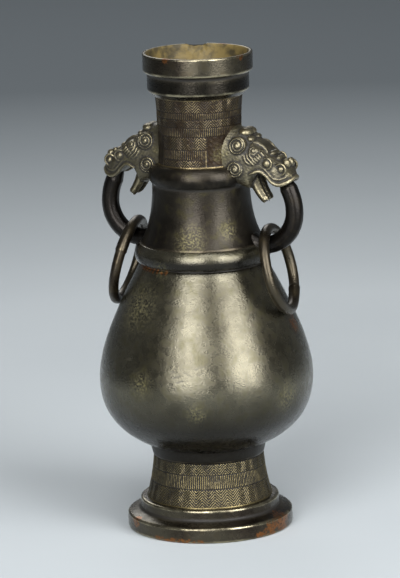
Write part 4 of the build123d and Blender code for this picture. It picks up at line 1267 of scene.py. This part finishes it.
# %% Melt the features into one head
VOXEL = 0.42
EASE_PASSES, EASE_SHARE = 2, 0.5
WAX_GRAIN, WAX_GRAIN_SIZE, WAX_SEED = 0.06, 2.6, 71
far_shapes = [(points * [1, -1, 1], quads[:, ::-1]) for points, quads in side_shapes]
shapes = middle_shapes + side_shapes + far_shapes
counts = np.cumsum([0] + [len(points) for points, _ in shapes])
head_points = np.concatenate([points for points, _ in shapes]) + [0, 0, Z_UPPER_NECK]
head_quads = np.concatenate([quads + first for (_, quads), first in zip(shapes, counts)])
rough_mesh = put_mesh("rough_head", head_points, head_quads)
close_poles(rough_mesh)
rough_head = bpy.data.objects.new("rough_head", rough_mesh)
bpy.context.scene.collection.objects.link(rough_head)
melt = rough_head.modifiers.new("melt", "REMESH")
melt.mode, melt.voxel_size = "VOXEL", VOXEL * MM
ease = rough_head.modifiers.new("ease", "SMOOTH")
ease.iterations, ease.factor = EASE_PASSES, EASE_SHARE
melted = bpy.data.meshes.new_from_object(rough_head.evaluated_get(bpy.context.evaluated_depsgraph_get()))
bpy.data.objects.remove(rough_head)
skin_points, skin_normals = read_points(melted, "co") / MM, read_points(melted, "normal")
wax_grain = WAX_GRAIN * (ripple(skin_points, WAX_GRAIN_SIZE, WAX_SEED) - 1)
skin_points = skin_points + skin_normals * wax_grain[:, None]
skin_quads = np.empty(len(melted.loops), np.int32)
melted.loops.foreach_get("vertex_index", skin_quads)
bpy.data.meshes.remove(melted)
skin_quads = skin_quads.reshape(-1, 4)
both_sides("_beast", skin_points, skin_quads, "vessel", "_beast_head", head_bronze)

# %% [markdown]
# ## Floor, lamps and world
# The vase stands on a pale matt floor, which turns a darker grey out where the lamps stand close to it, so
# that it does not burn out there. Two tall soft boxes, one left of the camera and one to its right, give the
# two upright highlights of the photograph. A third one above lights the shoulders of the mouldings, and a
# weak one behind and a grey room fill the rest. A picture of a studio could light it too, but four lamps can
# be moved one by one.

# %% Floor
FLOOR_SIZE = 12000.0
# Where the floor starts and ends turning grey, in metres, which is what a shader counts in.
FLOOR_FADE = (0.8, 2.0)
FLOOR_CLOUD = (300, 2.0)
FLOOR_TONES = ("#b2b8bc", "#bac0c3")
FLOOR_FAR = "#6d7377"
FLOOR_ROUGHNESS = 0.9
floor_corners = np.array([[-1, -1, 0], [1, -1, 0], [1, 1, 0], [-1, 1, 0]]) * FLOOR_SIZE / 2
floor_mesh = put_mesh("floor", floor_corners, np.array([[0, 1, 2, 3]]))
floor = bpy.data.objects.new("floor", floor_mesh)
bpy.context.scene.collection.objects.link(floor)
paper = bpy.data.materials.new("matt paper floor")
paper.use_nodes = True
paper_tree = paper.node_tree
paper_place = add(paper_tree, "ShaderNodeTexCoord")["Object"]
paper_sockets = {"Vector": paper_place, "Scale": per_mm(FLOOR_CLOUD[0]), "Detail": FLOOR_CLOUD[1]}
paper_cloud = add(paper_tree, "ShaderNodeTexNoise", paper_sockets)[0]
paper_tones = {"Factor": paper_cloud, UNDER: linear(FLOOR_TONES[0]), OVER: linear(FLOOR_TONES[1])}
paper_tone = add(paper_tree, MIX, paper_tones, data_type="RGBA")[MIXED]
paper_reach = add(paper_tree, "ShaderNodeVectorMath", (paper_place,), operation="LENGTH")["Value"]
paper_fade = add(paper_tree, RAMP, (paper_reach, *FLOOR_FADE, 0.0, 1.0))[0]
paper_colours = {"Factor": paper_fade, UNDER: paper_tone, OVER: linear(FLOOR_FAR)}
paper_colour = add(paper_tree, MIX, paper_colours, data_type="RGBA")[MIXED]
paper_shader = paper_tree.nodes["Principled BSDF"]
paper_tree.links.new(paper_colour, paper_shader.inputs["Base Color"])
paper_shader.inputs["Roughness"].default_value = FLOOR_ROUGHNESS
paper_shader.inputs["Specular IOR Level"].default_value = 0.0
floor_mesh.materials.append(paper)
print("floor", FLOOR_SIZE * MM, "m wide, pale to", FLOOR_FADE[0], "m from the vase")

# %% Lamps and world
# Lamps are placed and sized in metres.
LAMP_DISTANCE = 3.4
LAMP_AIM = Vector((0, 0, 0.21))
ROOM_GREY, ROOM_STRENGTH = "#8b8f92", 0.4


def soft_box(name, swing, elevation, width, height, radiance):
    """Rectangular lamp that looks at the vase from degrees right of the camera's bearing; its power is
    radiance times pi times area."""
    angle, lift = np.radians([VIEW_BEARING + swing, elevation])
    way = Vector((np.sin(angle) * np.cos(lift), -np.cos(angle) * np.cos(lift), np.sin(lift)))
    lamp = bpy.data.lights.new(name, "AREA")
    lamp.shape, lamp.size, lamp.size_y = "RECTANGLE", width, height
    lamp.energy = radiance * np.pi * width * height
    box = bpy.data.objects.new(name, lamp)
    box.location = way * LAMP_DISTANCE + LAMP_AIM
    box.rotation_euler = way.to_track_quat("Z", "Y").to_euler()
    bpy.context.scene.collection.objects.link(box)
    return lamp.energy


powers = [
    soft_box("left_soft_box", swing=-19, elevation=23.0, width=1.91, height=3.26, radiance=8.0),
    soft_box("right_soft_box", swing=43, elevation=23.0, width=1.91, height=3.26, radiance=8.0),
    soft_box("top_soft_box", swing=5, elevation=66.0, width=2.13, height=1.28, radiance=4.0),
    soft_box("back_soft_box", swing=190, elevation=35.0, width=1.42, height=2.13, radiance=2.4),
]
world = bpy.data.worlds.new("grey room")
world.use_nodes = True
room = world.node_tree.nodes["Background"]
room.inputs["Color"].default_value = linear(ROOM_GREY)
room.inputs["Strength"].default_value = ROOM_STRENGTH
bpy.context.scene.world = world
bpy.context.scene.view_settings.view_transform = "Standard"
print("lamp powers", np.round(powers, 1))
